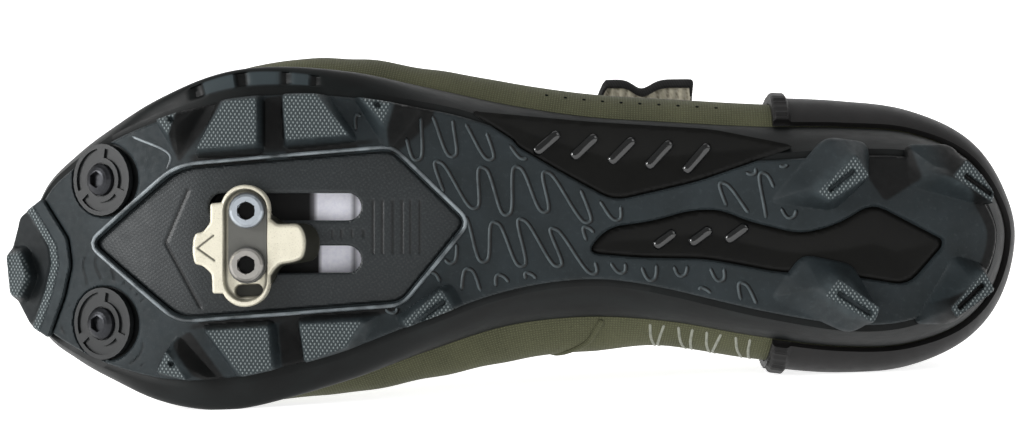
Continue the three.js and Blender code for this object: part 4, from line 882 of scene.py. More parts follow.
# Painted shade: the engraved chevron and ticks are near black.
weave_black.tint(weave_black.mark("line"), srgb(3, 4, 4))
weave_black.rough(weave_black.noise(260, 4, 0.7), 0.3, 0.62)
weave_black.bump(crossed, 0.05, 0.5)

panel_black = Finish("panel_gloss", srgb(9, 9, 8), 0.42, flat=True, gloss=0.15)
panel_black.tint(panel_black.fit(panel_black.noise(30, 3), 0.4, 0.7), srgb(14, 14, 12))
panel_black.rough(panel_black.noise(400, 4, 0.7), 0.22, 0.5)
panel_black.bump(panel_black.noise(900, 3), 0.02, 0.4)
print("three black finishes")

# %% Shell wall and floor
RIM, FLOOR = 4.5, 4.2
SLOTS = [(BOLT_X - 25.6, BOLT_X + 7.2, BOLT_Y + 1.2 + side * 6.9, 3.6) for side in (1, -1)]


def slots_area(x, y):
    """Signed distance to the two slots."""
    each = [capsule(x, y, (x0, sy), (x1, sy), r) for x0, x1, sy, r in SLOTS]
    return np.minimum(*each)


def floor_height(x):
    """Floor inside the shell, just under the seam where the shell is thin."""
    return np.minimum(underside(x) + FLOOR, seam_height(x) - 0.6)


stations = 620
share = np.arange(stations) / stations
seam, outward, spine, _ = place(share)
a = seam[:, 0] / LENGTH
under_inset = np.where(share <= 0.5, inset_out(a), inset_inn(a)) * WIDTH
low_z, high_z = underside(seam[:, 0]), seam_height(seam[:, 0]) - GAP


RUNGS = ((0.7965, 0.764), (0.7525, 0.719), (0.711, 0.69))


def ladder(x, t, outer):
    """Three raised blocks low in the outer side wall and the pockets between them, painted dark as shade."""
    block = 0
    for back, front in RUNGS:
        block = block + smooth(front - 0.002, front + 0.002, x) * (1 - smooth(back - 0.002, back + 0.002, x))
    tall = smooth(0.012, 0.02, t) * (1 - smooth(0.1, 0.13, t)) * outer
    span = smooth(0.68, 0.684, x) * (1 - smooth(0.806, 0.81, x)) * tall
    return block * tall, span * (1 - block)


def wall_row(t):
    """Side wall at height share t, upright at the ball and drawn in at the waist."""
    swollen = proud_at(a) * WIDTH * np.sin(np.pi * t**0.6)
    inset = under_inset * (1 - t) ** hold_at(a) - swollen
    plan = seam - outward * inset[:, None]
    _, pocket = ladder(a, t, share <= 0.5)
    return np.column_stack([plan, low_z + (high_z - low_z) * t + 1.1 * pocket])


def rim_row(inset, z):
    """Ring at an inset from the seam and a height."""
    return np.column_stack([seam - outward * np.asarray(inset).reshape(-1, 1), z])


profile = [rim_row(under_inset + 6, low_z), rim_row(under_inset + 1.2, low_z)]
wall_shares = np.linspace(0.02, 1, 40) ** 1.8 * 0.96
profile += [wall_row(t) for t in wall_shares]
profile += [rim_row(np.full(stations, v), high_z - drop) for v, drop in ((0, 0.45), (0.15, 0.15), (0.5, 0), (4, 0), (4.3, 0.12), (4.5, 0.5))]
profile += [rim_row(np.full(stations, 6.0), np.minimum(floor_height(seam[:, 0]), high_z - 0.6))]
profile += [rim_row(np.full(stations, 8.0), np.minimum(floor_height(seam[:, 0]), high_z - 0.6))]
ring_points = np.stack(profile, axis=1)
rows = ring_points.shape[1]
lengths = np.concatenate([[0], np.cumsum(np.linalg.norm(np.diff(seam, axis=0), axis=1))])
wall_map = np.stack([np.repeat(lengths[:, None], rows, 1), np.repeat(np.arange(rows)[None, :] * 1.0, stations, 0)], -1)
wall_marks = {"block": np.zeros((stations, rows)), "notch": np.zeros((stations, rows))}
for k, t in enumerate(wall_shares):
    wall_marks["block"][:, k + 2], wall_marks["notch"][:, k + 2] = ladder(a, t, share <= 0.5)
piece("shell_wall", ring_points.reshape(-1, 3), grid_faces(stations, rows, True, True), wall_black.material,
      ["sole_shell"], wall_map.reshape(-1, 2), wall_marks)

inner_edge = rim_ring(2.5)


def shell_floor_area(x, y):
    """Floor inside the ring, less the slots."""
    return np.maximum(distance(inner_edge, x, y), -slots_area(x, y))


floor_points, floor_faces = cut_sheet(
    shell_floor_area, reach, 1.0, lambda x, y: underside(x) + 0.02, lambda x, y: floor_height(x) - 0.1)
floor_marks = {"block": np.zeros(len(floor_points)), "notch": np.zeros(len(floor_points))}
piece("shell_floor", floor_points, floor_faces, wall_black.material, (), floor_points[:, :2], floor_marks)

# %% [markdown]
# ## The plate in the tread's window
# The plate carries engraved guide lines: a long chevron near the toe, and a scale of short
# ticks beside the slots so that both shoes' cleats can be set alike. They are shallow
# grooves in the plate, so they are part of its depth, painted near black as shade.

# %% Plate and panels
GUIDES = corners([[0.809, 0.314], [0.832, -0.003], [0.797, -0.385]])
TICKS = np.array([0.669, 0.66, 0.65, 0.639, 0.63, 0.621, 0.611, 0.602, 0.594, 0.585]) * LENGTH


def plate_area(x, y):
    """Plate a little inside its window, less the slots."""
    return np.maximum(distance(PLATE, x, y) + 0.15, -slots_area(x, y))


def plate_lines(x, y):
    """Depth share of the engraved chevron and of the scale's ticks."""
    line = np.minimum(capsule(x, y, GUIDES[0], GUIDES[1], 0.35), capsule(x, y, GUIDES[1], GUIDES[2], 0.35))
    for k, tick in enumerate(TICKS):
        span = (0.2, 1.9) if k < 4 else (-2.8, 11.0)
        offset = BOLT_Y if k < 4 else 0
        line = np.minimum(line, capsule(x, y, (tick, span[0] + offset), (tick, span[1] + offset), 0.22))
    return 1 - smooth(-0.15, 0.3, line)


def plate_low(x, y):
    """Flat plate with a low bevel at its edge and engraved lines."""
    edge = rounded_edge(-plate_area(x, y), 0.7)
    return underside(x) - 0.35 + 0.5 * edge + 0.25 * plate_lines(x, y)


plate_cell = 0.4
plate_points, plate_faces = cut_sheet(plate_area, (140, -24, 252, 28), plate_cell, plate_low, lambda x, y: underside(x) + 0.5 + 0 * y)
# Painted shade in the engraved lines.
plate_groove_shade = plate_lines(plate_points[:, 0], plate_points[:, 1]) * 0.85
piece("plate", plate_points, plate_faces, weave_black.material, (), plate_points[:, :2], {"line": plate_groove_shade}, 30)


def panel(name, outline, span, bars):
    """Satin panel that dips slightly to its middle, with plain slanted bars standing on it."""
    def area(x, y):
        return distance(outline, x, y) + 0.15

    def low(x, y):
        return underside(x) - 0.5 + 0.45 * smooth(0, 12, -area(x, y)) + 0.5 * rounded_edge(-area(x, y), 0.6)

    points, faces = cut_sheet(area, span, 0.6, low, lambda x, y: underside(x) + 1.2 + 0 * y)
    piece(name, points, faces, panel_black.material, (), points[:, :2], None, 30)
    paths = []
    for start, end in bars:
        rows = np.array(start) + np.linspace(0, 1, 14)[:, None] * (np.array(end, float) - start)
        way = np.zeros((14, 3))
        way[:, 2] = -1
        paths.append((np.column_stack([rows, low(rows[:, 0], rows[:, 1])]), way))
    tubes(name + "_bars", paths, 1.5, 1.0, bar_black.material, ring=12)


bar_black = Finish("bar_gloss", srgb(14, 15, 15), 0.16, coat=0.6, flat=True, gloss=0.5)
bar_black.tint(bar_black.fit(bar_black.noise(60, 3), 0.4, 0.7), srgb(22, 23, 23))
bar_black.bump(bar_black.noise(1200, 3), 0.02, 0.5)
OUTER_BARS = [((129 - 10 * k, 23.5 - 1.3 * k), (122 - 10 * k, 29.5 - 0.8 * k)) for k in range(5)]
INNER_BARS = [((97 - 9.5 * k, -1.5 + 0.8 * k), (91 - 9.5 * k, 3 + 0.8 * k)) for k in range(3)]
panel("outer_panel", OUTER_PANEL, (50, 5, 155, 42), OUTER_BARS)
panel("inner_panel", INNER_PANEL, (15, -16, 122, 16), INNER_BARS)

# %% [markdown]
# ## Toe bumper
# A chevron of rubber caps the toe, deeper than the skin, with one lug to push off from.

# %% Bumper
TOE_FACE = softened(corners([[1.004, -0.09], [0.99, -0.08], [0.982, -0.214], [0.991, -0.332], [1.0, -0.323]]), 0.8)
REAR_EDGE = softened(corners([
    [1.3, 1.6], [1.058, 1.02], [0.968, 0.27], [0.938, 0.02], [0.934, -0.14], [0.942, -0.335], [0.96, -0.6], [1.014, -1.4],
    [1.3, -1.6],
]), 1.2)
STRIP = (3.5, 5.8)


def bumper_area(x, y):
    return distance(BUMPER, x, y)


def from_rear(x, y):
    """Distance from the bumper's rear edge towards the toe."""
    return -distance(REAR_EDGE, x, y)


def band(value, low, high, soft):
    """1 between two values and 0 outside them, with a soft change at both."""
    return smooth(low - soft, low + soft, value) * (1 - smooth(high - soft, high + soft, value))


def bumper_low(x, y):
    """Skin's level less the bumper's depth, a raised strip, a hollow ahead of it and the toe lug."""
    base = skin_low(np.minimum(x, LENGTH)) - 3.4 + RUBBER
    strip = from_rear(x, y)
    base = base - 0.5 * band(strip, *STRIP, 0.25) + 1.1 * smooth(STRIP[1], STRIP[1] + 1.2, strip)
    to_face = np.maximum(distance(TOE_FACE, x, y), 0)
    lug = np.clip(1 - to_face / 2.4, 0, 1)
    lug = 0.5 * lug + 0.5 * smooth(0, 1, lug)
    return base * (1 - lug) + (skin_low(np.minimum(x, LENGTH)) - 8.5 + RUBBER) * lug + rounded_edge(-bumper_area(x, y), 0.9)


bumper_points, bumper_faces = cut_sheet(
    bumper_area, (250, -28, 276, 14), 0.35, bumper_low, lambda x, y: underside(np.minimum(x, LENGTH)) - GAP)
strip = from_rear(bumper_points[:, 0], bumper_points[:, 1])
to_face = distance(TOE_FACE, bumper_points[:, 0], bumper_points[:, 1])
bumper_marks = {
    "knurl": np.maximum(1 - smooth(0.4, 1.2, to_face), 1.25 * band(strip, *STRIP, 0.2)),
    # Painted light on the bumper behind its strip, and painted shade in the hollow ahead of it.
    "high": 0.25 * (strip < STRIP[0]),
    "black": 0.6 * smooth(STRIP[1], STRIP[1] + 0.4, strip) * smooth(0.8, 1.3, to_face),
}
piece("toe_bumper_rubber", bumper_points, bumper_faces, tread.material, ["toe_bumper"], bumper_points[:, :2],
      bumper_marks, 32)

# %% [markdown]
# ## Upper
# The upper is one skin over the last, open at the collar and the throat. Each station
# round the shoe climbs the face until it meets the collar's line or the throat's edge, so
# the openings get clean edges. The inside repeats the outside one wall further in.

# %% Collar and throat
COLLAR_BACK, COLLAR_SIDE, COLLAR_FRONT = 90.0, 72.0, 104.0
THROAT_END, THROAT_TIP, THROAT_WIDTH = 0.415 * LENGTH, 0.69 * LENGTH, 34.0
collar_rows = np.array([
    [-0.06 * LENGTH, COLLAR_BACK + 3], [0.03 * LENGTH, COLLAR_BACK], [0.12 * LENGTH, (COLLAR_BACK + COLLAR_SIDE) / 2],
    [0.21 * LENGTH, COLLAR_SIDE], [0.3 * LENGTH, COLLAR_SIDE + 0.16 * (COLLAR_FRONT - COLLAR_SIDE)],
    [0.375 * LENGTH, COLLAR_SIDE + 0.72 * (COLLAR_FRONT - COLLAR_SIDE)], [THROAT_END, COLLAR_FRONT],
])
collar_line = catmull_rom(collar_rows, 20)


def throat_half(x):
    """Half width of the throat, full at its back and round at its tip."""
    t = np.clip((THROAT_TIP - x) / 8, 0, 1)
    wide = np.interp(x, [THROAT_END + 4, THROAT_TIP - 8], [0.5, 0.27])
    return THROAT_WIDTH * np.where(x > THROAT_TIP - 8, 0.12 + 0.15 * np.sqrt(np.clip(t * (2 - t), 0, 1)), wide)


def climb(share, number=400):
    """Share of the climb at which each station meets the collar or the throat, 1 where it meets neither."""
    s = np.linspace(0.35, 1, number)
    p = upper_face(share[:, None], s[None, :])
    x, y, z = p[..., 0], p[..., 1], p[..., 2]
    over_collar = (x < THROAT_END) & (z > np.interp(x, collar_line[:, 0], collar_line[:, 1]))
    middle = np.interp(x, MIDDLE[:, 0], MIDDLE[:, 1])
    in_throat = (x >= THROAT_END) & (x < THROAT_TIP) & (np.abs(y - middle) < throat_half(x))
    cut = over_collar | in_throat
    first = np.argmax(cut, axis=1)
    return np.where(cut.any(axis=1), s[first], 1.0)


upper_stations = 420
upper_share = np.arange(upper_stations) / upper_stations
top_s = climb(upper_share)
print("stations that run closed over the toe:", int((top_s >= 1).sum()))

# %% Creases
CREASES = [  # start and end as (along, share of the climb) on one side, width mm, depth mm
    ("out", (0.6, 0.25), (0.66, 0.75), 5.0, 1.2), ("out", (0.66, 0.2), (0.7, 0.7), 4.0, 0.9),
    ("out", (0.545, 0.3), (0.6, 0.8), 5.0, 0.9), ("inn", (0.6, 0.25), (0.66, 0.75), 5.0, 1.0),
    ("inn", (0.54, 0.25), (0.6, 0.7), 5.0, 1.0), ("inn", (0.66, 0.25), (0.7, 0.65), 4.0, 0.8),
    ("out", (0.3, 0.5), (0.4, 0.75), 6.0, 1.1), ("inn", (0.3, 0.5), (0.4, 0.75), 6.0, 1.1),
]


def creases(share, s):
    """Soft troughs with a low ridge beside each, along short lines on the face."""
    p = upper_face(share, s)
    lift = np.zeros(p.shape[:-1])
    for side, start, end, width, depth in CREASES:
        ends = [upper_face(np.array(share_at(side, along * LENGTH)), np.array(height)) for along, height in (start, end)]
        run = ends[1] - ends[0]
        t = np.clip(((p - ends[0]) @ run) / (run @ run), 0, 1)
        gap = np.linalg.norm(p - ends[0] - t[..., None] * run, axis=-1)
        fade = np.sin(np.pi * np.clip(t, 0.04, 0.96)) ** 0.7
        lift -= depth * fade * (np.exp(-((gap / width) ** 2)) - 0.45 * np.exp(-(((gap - 1.7 * width) / width) ** 2)))
    return lift * (1 - smooth(0.8, 0.93, s))


steps = np.linspace(0, 1, 64)
grid_s = top_s[:, None] * (1 - (1 - steps[None, :]) ** 1.15)
grid_share = np.repeat(upper_share[:, None], len(steps), 1)
relief = creases(grid_share, grid_s)
outer = upper_point(grid_share, grid_s, relief)
past = outer[:, -1] + 0.4 * unit(outer[:, -1] - outer[:, -2]) - [0, 0, 0.08]
past = np.where((top_s >= 1)[:, None], past, outer[:, -1])
outer = np.concatenate([outer, past[:, None]], axis=1)
inner_s = grid_s[:, ::-4]
inner = upper_point(np.repeat(upper_share[:, None], inner_s.shape[1], 1), inner_s, -2.0 + 0 * inner_s)
skin = np.concatenate([outer, inner], axis=1)
girth = np.concatenate([np.zeros((upper_stations, 1)), np.cumsum(np.linalg.norm(np.diff(skin, axis=1), axis=-1), axis=1)], axis=1)
round_length = np.concatenate([[0], np.cumsum(np.linalg.norm(np.diff(outer[:, 8], axis=0), axis=-1))])
skin_map = np.stack([np.repeat(round_length[:, None], skin.shape[1], 1), girth], axis=-1)
print("upper: skin grid", skin.shape)

# %% Upper finish and piece
cloth = Finish("olive_weave", srgb(78, 79, 57), 0.78, sheen=0.05, flat=True, gloss=0.25)
cloth.tint(cloth.fit(cloth.noise(30, 4, 0.6), 0.35, 0.7), srgb(57, 58, 41))
threads = cloth.sum(cloth.waves(430, 0.0, 1.2, detail_scale=2.0), cloth.waves(430, math.pi / 2, 1.2, detail_scale=2.0), "MULTIPLY")
cloth.tint(cloth.fit(threads, 0.1, 0.6, 0, 0.6), srgb(96, 97, 72))
cloth.tint(cloth.fit(cloth.noise(900, 3, 0.7), 0.55, 0.75, 0, 0.5), srgb(38, 41, 27))
cloth.tint(cloth.mark("inside"), srgb(150, 146, 130))
cloth.bump(threads, 0.14, 0.8)
cloth.bump(cloth.noise(260, 3), 0.15, 0.35)
inside = np.zeros(skin.shape[:2])
inside[:, outer.shape[1]:] = 1
piece("upper_skin", skin.reshape(-1, 3), grid_faces(upper_stations, skin.shape[1], True, True), cloth.material,
      ["upper"], skin_map.reshape(-1, 2), {"inside": inside}, 50)

# %% [markdown]
# ## Heel cup
# A moulded black cup hugs the heel. Its front edge stands proud and is ribbed.

# %% Heel cup
cup_black = Finish("heel_cup_black", srgb(21, 20, 20), 0.5, flat=True, gloss=0.3)
cup_black.tint(cup_black.fit(cup_black.noise(50, 4), 0.4, 0.7), srgb(15, 14, 14))
cup_black.tint(cup_black.fit(cup_black.noise(260, 5, 0.7, (1, 0.2, 1)), 0.64, 0.76, 0, 0.3), srgb(70, 68, 68))
cup_black.rough(cup_black.noise(300, 4), 0.38, 0.62)
cup_black.bump(cup_black.noise(2200, 2), 0.05, 0.6)

CUP_FRONT, RIB_WIDTH, RIB, CUP_WALL, CUP_TOP = 0.235 * LENGTH, 4.5, 1.4, 1.6, 0.41
cup_out, cup_inn = float(share_at("out", CUP_FRONT)), float(share_at("inn", CUP_FRONT)) - 1
cup_share = np.linspace(cup_inn, cup_out, 360)
cup_top = CUP_TOP - 0.05 * (np.abs(cup_share) / cup_out) ** 2
cup_steps = np.linspace(0, 1, 40)
cup_s = 0.002 + (cup_top[:, None] - 0.002) * cup_steps[None, :]
cup_grid = np.repeat(cup_share[:, None], len(cup_steps), 1)
cup_x = upper_face(cup_grid, cup_s)[..., 0]
from_front = CUP_FRONT - cup_x
band = 1 - smooth(RIB_WIDTH - 0.6, RIB_WIDTH + 0.5, from_front)
ribs = 0.5 + 0.5 * np.sin(cup_steps[None, :] * 2 * np.pi * 17)
ends_round = rounded_edge(np.maximum(from_front, 0), 1.0) + rounded_edge((1 - cup_steps[None, :]) * 40, 1.2) + rounded_edge(cup_steps[None, :] * 40, 1.0)
cup_lift = GAP + CUP_WALL + band * (RIB - 0.45 * (1 - ribs)) - np.minimum(ends_round, 1.2)
cup_face = upper_point(cup_grid, cup_s, cup_lift)
cup_back = upper_point(cup_grid, cup_s, np.full_like(cup_s, GAP))
slab("heel_cup_shell", cup_face, cup_back, cup_black.material, ["heel_cup"], None, 42)

# %% [markdown]
# ## Tongue, collar pad and edge piping
# The tongue is ribbed cream mesh under the throat, and its outer wing spills over the
# collar, where the photograph shows a glimpse of it. Piping is a round tube that follows an
# edge. The collar's lining is a soft tube of flattened section, one thumb thick.

# %% Tongue
WALL, TONGUE = 2.0, 3.2
cream = Finish("tongue_mesh", srgb(176, 170, 150), 0.85, sheen=0.1, flat=True, gloss=0.25)
ribs = cream.waves(95, 0.0, 2.0)
cream.tint(cream.fit(ribs, 0.1, 0.6, 0.7, 0), srgb(104, 98, 84))
cream.tint(cream.fit(cream.cells(900), 0.2, 0.7, 0, 0.5), srgb(214, 208, 190))
cream.bump(ribs, 0.5, 0.8)
cream.bump(cream.cells(900), 0.12, 0.7)
piping = Finish("piping_black", srgb(16, 16, 16), 0.6, flat=True, gloss=0.3)
piping.tint(piping.fit(piping.waves(500, 0.7), 0.3, 0.7, 0, 0.6), srgb(34, 34, 33))
piping.bump(piping.waves(500, 0.7), 0.08, 0.7)

tongue_x = np.linspace(0.7 * LENGTH, 0.3 * LENGTH, 120)[:, None]
side_f = np.concatenate([np.linspace(0, 1, 20), np.linspace(1, 0, 20)[1:]])[None, :]
first = (np.arange(39) < 20)[None, :]
behind = THROAT_END - tongue_x
tongue_edge = 0.68 + 0.1 * smooth(-10, 3, behind)
wing = smooth(-5, 4, behind) * (1 - 0.1 * np.exp(-(((tongue_x - 97) / 4) ** 2))) * np.where(first, 1, 0)
tongue_t = tongue_edge + (1 - tongue_edge) * side_f
tongue_q = np.where(first, share_at("out", tongue_x), 1 - share_at("out", tongue_x))
far = wing * (1 - side_f) ** 1.5
ripple = 0.7 * np.sin(tongue_x / 3.4 + 2 * side_f) * far
shift = np.concatenate([place(tongue_q)[1] * (far * 28.5)[..., None], (-far * 9.0 + ripple)[..., None]], axis=-1)


def tongue_face(lift):
    """The last's face under the upper, pushed out along the wing."""
    return upper_point(tongue_q, tongue_t, np.zeros_like(tongue_t) + lift) + shift


thin = 0.9 * (1 - np.sqrt(np.clip(1 - (1 - np.minimum(side_f / 0.12, 1)) ** 2, 0, 1)))
tongue_top, tongue_under = tongue_face(-WALL - 0.6 - thin), tongue_face(-WALL - 0.6 - TONGUE + thin)
print("tongue's outer reach, mm:", round(float(tongue_top[..., 1].max()), 1))
slab("tongue_pad", tongue_top, tongue_under, cream.material, ["tongue"])
middle_grid = (tongue_top + tongue_under) / 2
rim = np.concatenate([middle_grid[:, 0], middle_grid[-1, 1:-1], middle_grid[::-1, -1]])
rim_up = unit((tongue_top - tongue_under))
rim_up = np.concatenate([rim_up[:, 0], rim_up[-1, 1:-1], rim_up[::-1, -1]])
tubes("tongue_piping", [(rim, rim_up)], 0.75, 1.5, piping.material)

# %% Collar pad and piping of the upper's edge
edge_at = np.argsort(np.mod(upper_share + 0.5, 1))
edge_at = edge_at[top_s[edge_at] < 1]
edge_q, edge_s = upper_share[edge_at], top_s[edge_at]


def on_face(share, s, lift):
    """Centres and ways up for a tube laid on the upper's face at a lift."""
    share, s = np.broadcast_arrays(np.asarray(share, float), np.asarray(s, float))
    level = np.zeros_like(share) + lift
    centre = upper_point(share, s, level)
    return centre, unit(upper_point(share, s, level + 1) - centre)


tubes("edge_piping", [on_face(edge_q, edge_s, -1.0)], 1.3, 1.3, piping.material, loop=True)
lining = Finish("lining_cloth", srgb(150, 146, 130), 0.9, sheen=0.2, flat=True, gloss=0.2)
lining.tint(lining.fit(lining.noise(60, 4), 0.4, 0.7), srgb(128, 124, 110))
lining.bump(lining.cells(1100), 0.1, 0.7)
lining.bump(lining.noise(120, 3), 0.5, 0.3)
edge_x = upper_face(edge_q, edge_s)[:, 0]
collar_at = edge_x < THROAT_END + 2
pad_path = on_face(edge_q[collar_at], edge_s[collar_at] - 0.075, -WALL - 2.6)
tubes("collar_pad", [pad_path], 8.0, 2.6, lining.material, ring=20)

# %% [markdown]
# ## Straps
# Three plain bands cross the throat just over the upper, with a row of stitches along
# each edge. A stitch is a short flattened tube, so it catches light like real thread.

# %% Straps
strap_black = Finish("strap_black", srgb(24, 26, 26), 0.62, flat=True, gloss=0.3)
strap_black.tint(strap_black.fit(strap_black.noise(80, 4), 0.4, 0.7), srgb(31, 33, 33))
strap_black.tint(strap_black.fit(strap_black.cells(700), 0.1, 0.6, 0.5, 0), srgb(12, 13, 13))
strap_black.bump(strap_black.cells(700), 0.12, 0.7)
thread = Finish("thread_grey", srgb(92, 94, 84), 0.7, flat=True)
thread.tint(thread.fit(thread.waves(900, 0.6), 0.3, 0.7, 0, 0.6), srgb(60, 62, 55))
thread.bump(thread.waves(900, 0.6), 0.1, 0.7)
STRAPS = {"toe": (0.615, 0.655), "mid": (0.525, 0.57), "instep": (0.43, 0.495)}
climbing = np.concatenate([np.linspace(0.52, 1, 50), np.linspace(1, 0.52, 50)[1:]])
over_top = np.arange(99) >= 50
stitches = []
for name, (back_end, front_end) in STRAPS.items():
    f = np.linspace(0, 1, 25)[:, None]
    q = share_at("out", (back_end + (front_end - back_end) * f) * LENGTH)
    q = np.where(over_top[None, :], 1 - q, q)
    level = np.repeat(climbing[None, :], len(f), 0)
    width = (front_end - back_end) * LENGTH
    drop = rounded_edge(np.minimum(f, 1 - f) * width, 0.8) + rounded_edge((climbing[None, :] - 0.52) * 60, 0.8)
    top = upper_point(q, level, 2.4 - drop + 0.25 * smooth(0.28, 0.4, 0.5 - np.abs(f - 0.5)))
    slab(f"strap_{name}_band", top, upper_point(q, level, 0.6 + 0 * level), strap_black.material, [f"strap_{name}"])
    for row in (0.13, 0.87):
        q_row = share_at("out", (back_end + (front_end - back_end) * row) * LENGTH)
        dense = np.linspace(0, 98, 1400)
        line, way = on_face(np.where(dense < 49.5, q_row, 1 - q_row), np.interp(dense, np.arange(99), climbing), 2.45)
        gone = np.concatenate([[0], np.cumsum(np.linalg.norm(np.diff(line, axis=0), axis=-1))])
        for begin in np.arange(2.0, gone[-1] - 3, 3.1):
            at = begin + np.array([0, 0.15, 0.5, 1.1, 1.7, 2.05, 2.2])
            stitches.append(tuple(np.stack([np.interp(at, gone, v[:, k]) for k in range(3)], -1) for v in (line, way)))
tubes("strap_stitches", stitches, 0.35, 0.22, thread.material, ring=6)

# %% [markdown]
# ## Small things on the upper
# A raised welt on the inner side, a few silver-grey strokes near the heel, and a row of
# pinholes on the outer side, flat dark discs of painted shade. Each is a path in shares round and up the face.

# %% Welt, strokes and pinholes
def side_path(side, xs, heights, lift, number=60):
    """Tube path through a few places given by distance from the heel and share of the climb."""
    rows = catmull_rom(np.column_stack([xs, np.array(heights) * 100.0]), number // (len(xs) - 1))
    return on_face(share_at(side, rows[:, 0]), rows[:, 1] / 100.0, lift)


tubes("inner_welt", [side_path("inn", [110, 114, 121, 128], [0.02, 0.1, 0.17, 0.3], 0.0)], 0.9, 0.6, cloth.material)
silver = Finish("silver_grey_print", srgb(136, 138, 126), 0.5, flat=True)
silver.tint(silver.fit(silver.noise(500, 4, 0.7), 0.45, 0.65, 0, 0.8), srgb(92, 94, 84))
silver.bump(silver.noise(900, 3), 0.05, 0.5)
paths = []
for k, x in enumerate(np.arange(97, 69, -3.9)):
    lean = (1.6, -1.2, 2.4, 0.6)[k % 4]
    paths.append(side_path("inn", [x, x - 0.5 * lean, x - 0.6 - lean, x - 1.6 - lean], [0.03, 0.09, 0.15, 0.22 - 0.02 * (k % 3)], 0.0, 30))
tubes("silver_strokes", paths, 0.38, 0.2, silver.material, ring=6)
# Painted shade: each pinhole is a flat near-black disc standing in for the shade inside a hole.
pinhole_shade = Finish("pinhole_painted_shade", srgb(8, 9, 7), 0.9, flat=True, gloss=0.1)
pinhole_shade.tint(pinhole_shade.fit(pinhole_shade.noise(900), 0.4, 0.7), srgb(14, 15, 11))
pinhole_shade.bump(pinhole_shade.noise(900), 0.05, 0.5)
holes = []
for x in np.linspace(126, 79, 10):
    along = x + 0.5 * np.array([-1, -0.92, -0.6, 0, 0.6, 0.92, 1])
    holes.append(on_face(share_at("out", along), 0.1, 0.02))
tubes("pinholes", holes, 0.5, 0.08, pinhole_shade.material, ring=10)

# %% [markdown]
# ## Insole board and cleat
# Through the slots one sees the pale insole board, in shadow next to the cleat. The cleat
# is one casting, drawn as a plan with depth like the rubber: a rounded oval with a recess
# for the washer, stepped lugs in front and a tab behind that falls away in a bevel. The
# bevel, a small hole, the engraved arrow and the recess's wall are painted dark as shade.

# %% Insole
board = Finish("insole_board", srgb(246, 246, 255), 0.85, flat=True)
board.tint(board.fit(board.noise(900, 3), 0.4, 0.7, 0, 0.5), srgb(226, 226, 242))
# Painted shadow: the board is near black where it lies in shade next to the cleat, and along a fold.
board.tint(board.mark("dark"), srgb(7, 7, 7))
board.bump(board.noise(2200, 2), 0.06, 0.6)
board_seam, board_out, _, _ = place(np.arange(160) / 160)
BOARD = board_seam - board_out * 6.7
board_points, board_faces = cut_sheet(
    lambda x, y: distance(BOARD, x, y), reach, 1.2, lambda x, y: floor_height(x) + 0.6,
    lambda x, y: floor_height(x) + 3.6)
px, py = board_points[:, 0], board_points[:, 1]
start_of_shadow = np.where(py > BOLT_Y, 187.2, 185.6)
# Painted shade along a fold in the board.
fold_shade = (np.abs(px - 177.0) < 0.45) * 0.7
shade = {"dark": np.maximum(smooth(-0.4, 0.4, px - start_of_shadow) * (px < 220), fold_shade)}
piece("insole_sheet", board_points, board_faces, board.material, ["insole"], board_points[:, :2], shade, 40)

# %% Cleat
CLEAT_FRONT = softened(np.array([
    [210.4, 10.5], [213.2, 10.2], [213.2, 5.2], [215.1, 2.8], [217.0, 2.5], [217.7, 0.6], [217.8, -2.6], [217.2, -5.5],
    [215.0, -6.0], [212.8, -8.1], [212.6, -13.2], [209.8, -13.2], [204, -13.0], [204, 10.4],
]), 0.7)
CLEAT_TAB = softened(np.array([
    [200, 7.0], [197.7, 6.0], [196.1, 4.5], [190.3, 4.5], [189.2, 2.8], [188.7, 0.6], [188.9, -1.9], [189.5, -3.8],
    [191.4, -4.6], [195.2, -5.2], [196.8, -6.7], [198.2, -9.0], [203, -9.0], [203, 7.0],
]), 1.2)
CLEAT_FOOT = softened(np.array([
    [200, 9.5], [196.6, 6.6], [194.4, 5.2], [188.0, 5.0], [185.9, 3.2], [185.1, 0.6], [185.3, -2.4], [186.6, -4.6],
    [190.0, -5.3], [194.6, -5.9], [196.0, -7.6], [197.2, -11.0], [203, -11.0], [203, 9.5],
]), 1.5)
OVAL, RECESS = ((204.2, 8.8), (204.2, -10.4), 6.3), ((204.1, 8.3), (204.1, -9.6), 5.7)
ARROW = ((212.3, 1.9), (216.5, -1.4), (212.0, -4.6))


def cleat_area(x, y):
    """Union of the oval, the front lugs and the tab's foot."""
    return np.minimum(np.minimum(capsule(x, y, *OVAL), distance(CLEAT_FRONT, x, y)), distance(CLEAT_FOOT, x, y))


def cleat_parts(x, y):
    """Height of the casting's face and marks for what is painted dark as shade."""
    oval, front, tab = capsule(x, y, *OVAL), distance(CLEAT_FRONT, x, y), distance(CLEAT_TAB, x, y)
    core = np.minimum(np.minimum(oval, front), tab)
    fall = np.clip(core / 3.4, 0, 1)
    z = 3.2 + 0.5 * smooth(0.2, 1.2, -oval * (front < 0) * (oval > 0)) + 4.4 * fall
    z = z + rounded_edge(np.maximum(-core, 0), 0.7) * 0.8
    recess = 1 - smooth(-0.35, 0.1, capsule(x, y, *RECESS))
    z = z + 2.2 * recess
    hole = 1 - smooth(-0.3, 0.2, capsule(x, y, (205.4, -12.6), (201.4, -12.4), 1.7))
    z = z + 1.4 * hole
    arrow = 1 - smooth(0.12, 0.4, np.minimum(capsule(x, y, ARROW[0], ARROW[1], 0), capsule(x, y, ARROW[1], ARROW[2], 0)))
    z = z + 0.3 * arrow
    # Painted shade on the recess's wall.
    wall = smooth(-1.2, -0.5, capsule(x, y, *RECESS)) * recess
    return z, {"dark": np.maximum.reduce([smooth(0.05, 0.5, core), hole, 0.85 * arrow, 0.7 * wall])}


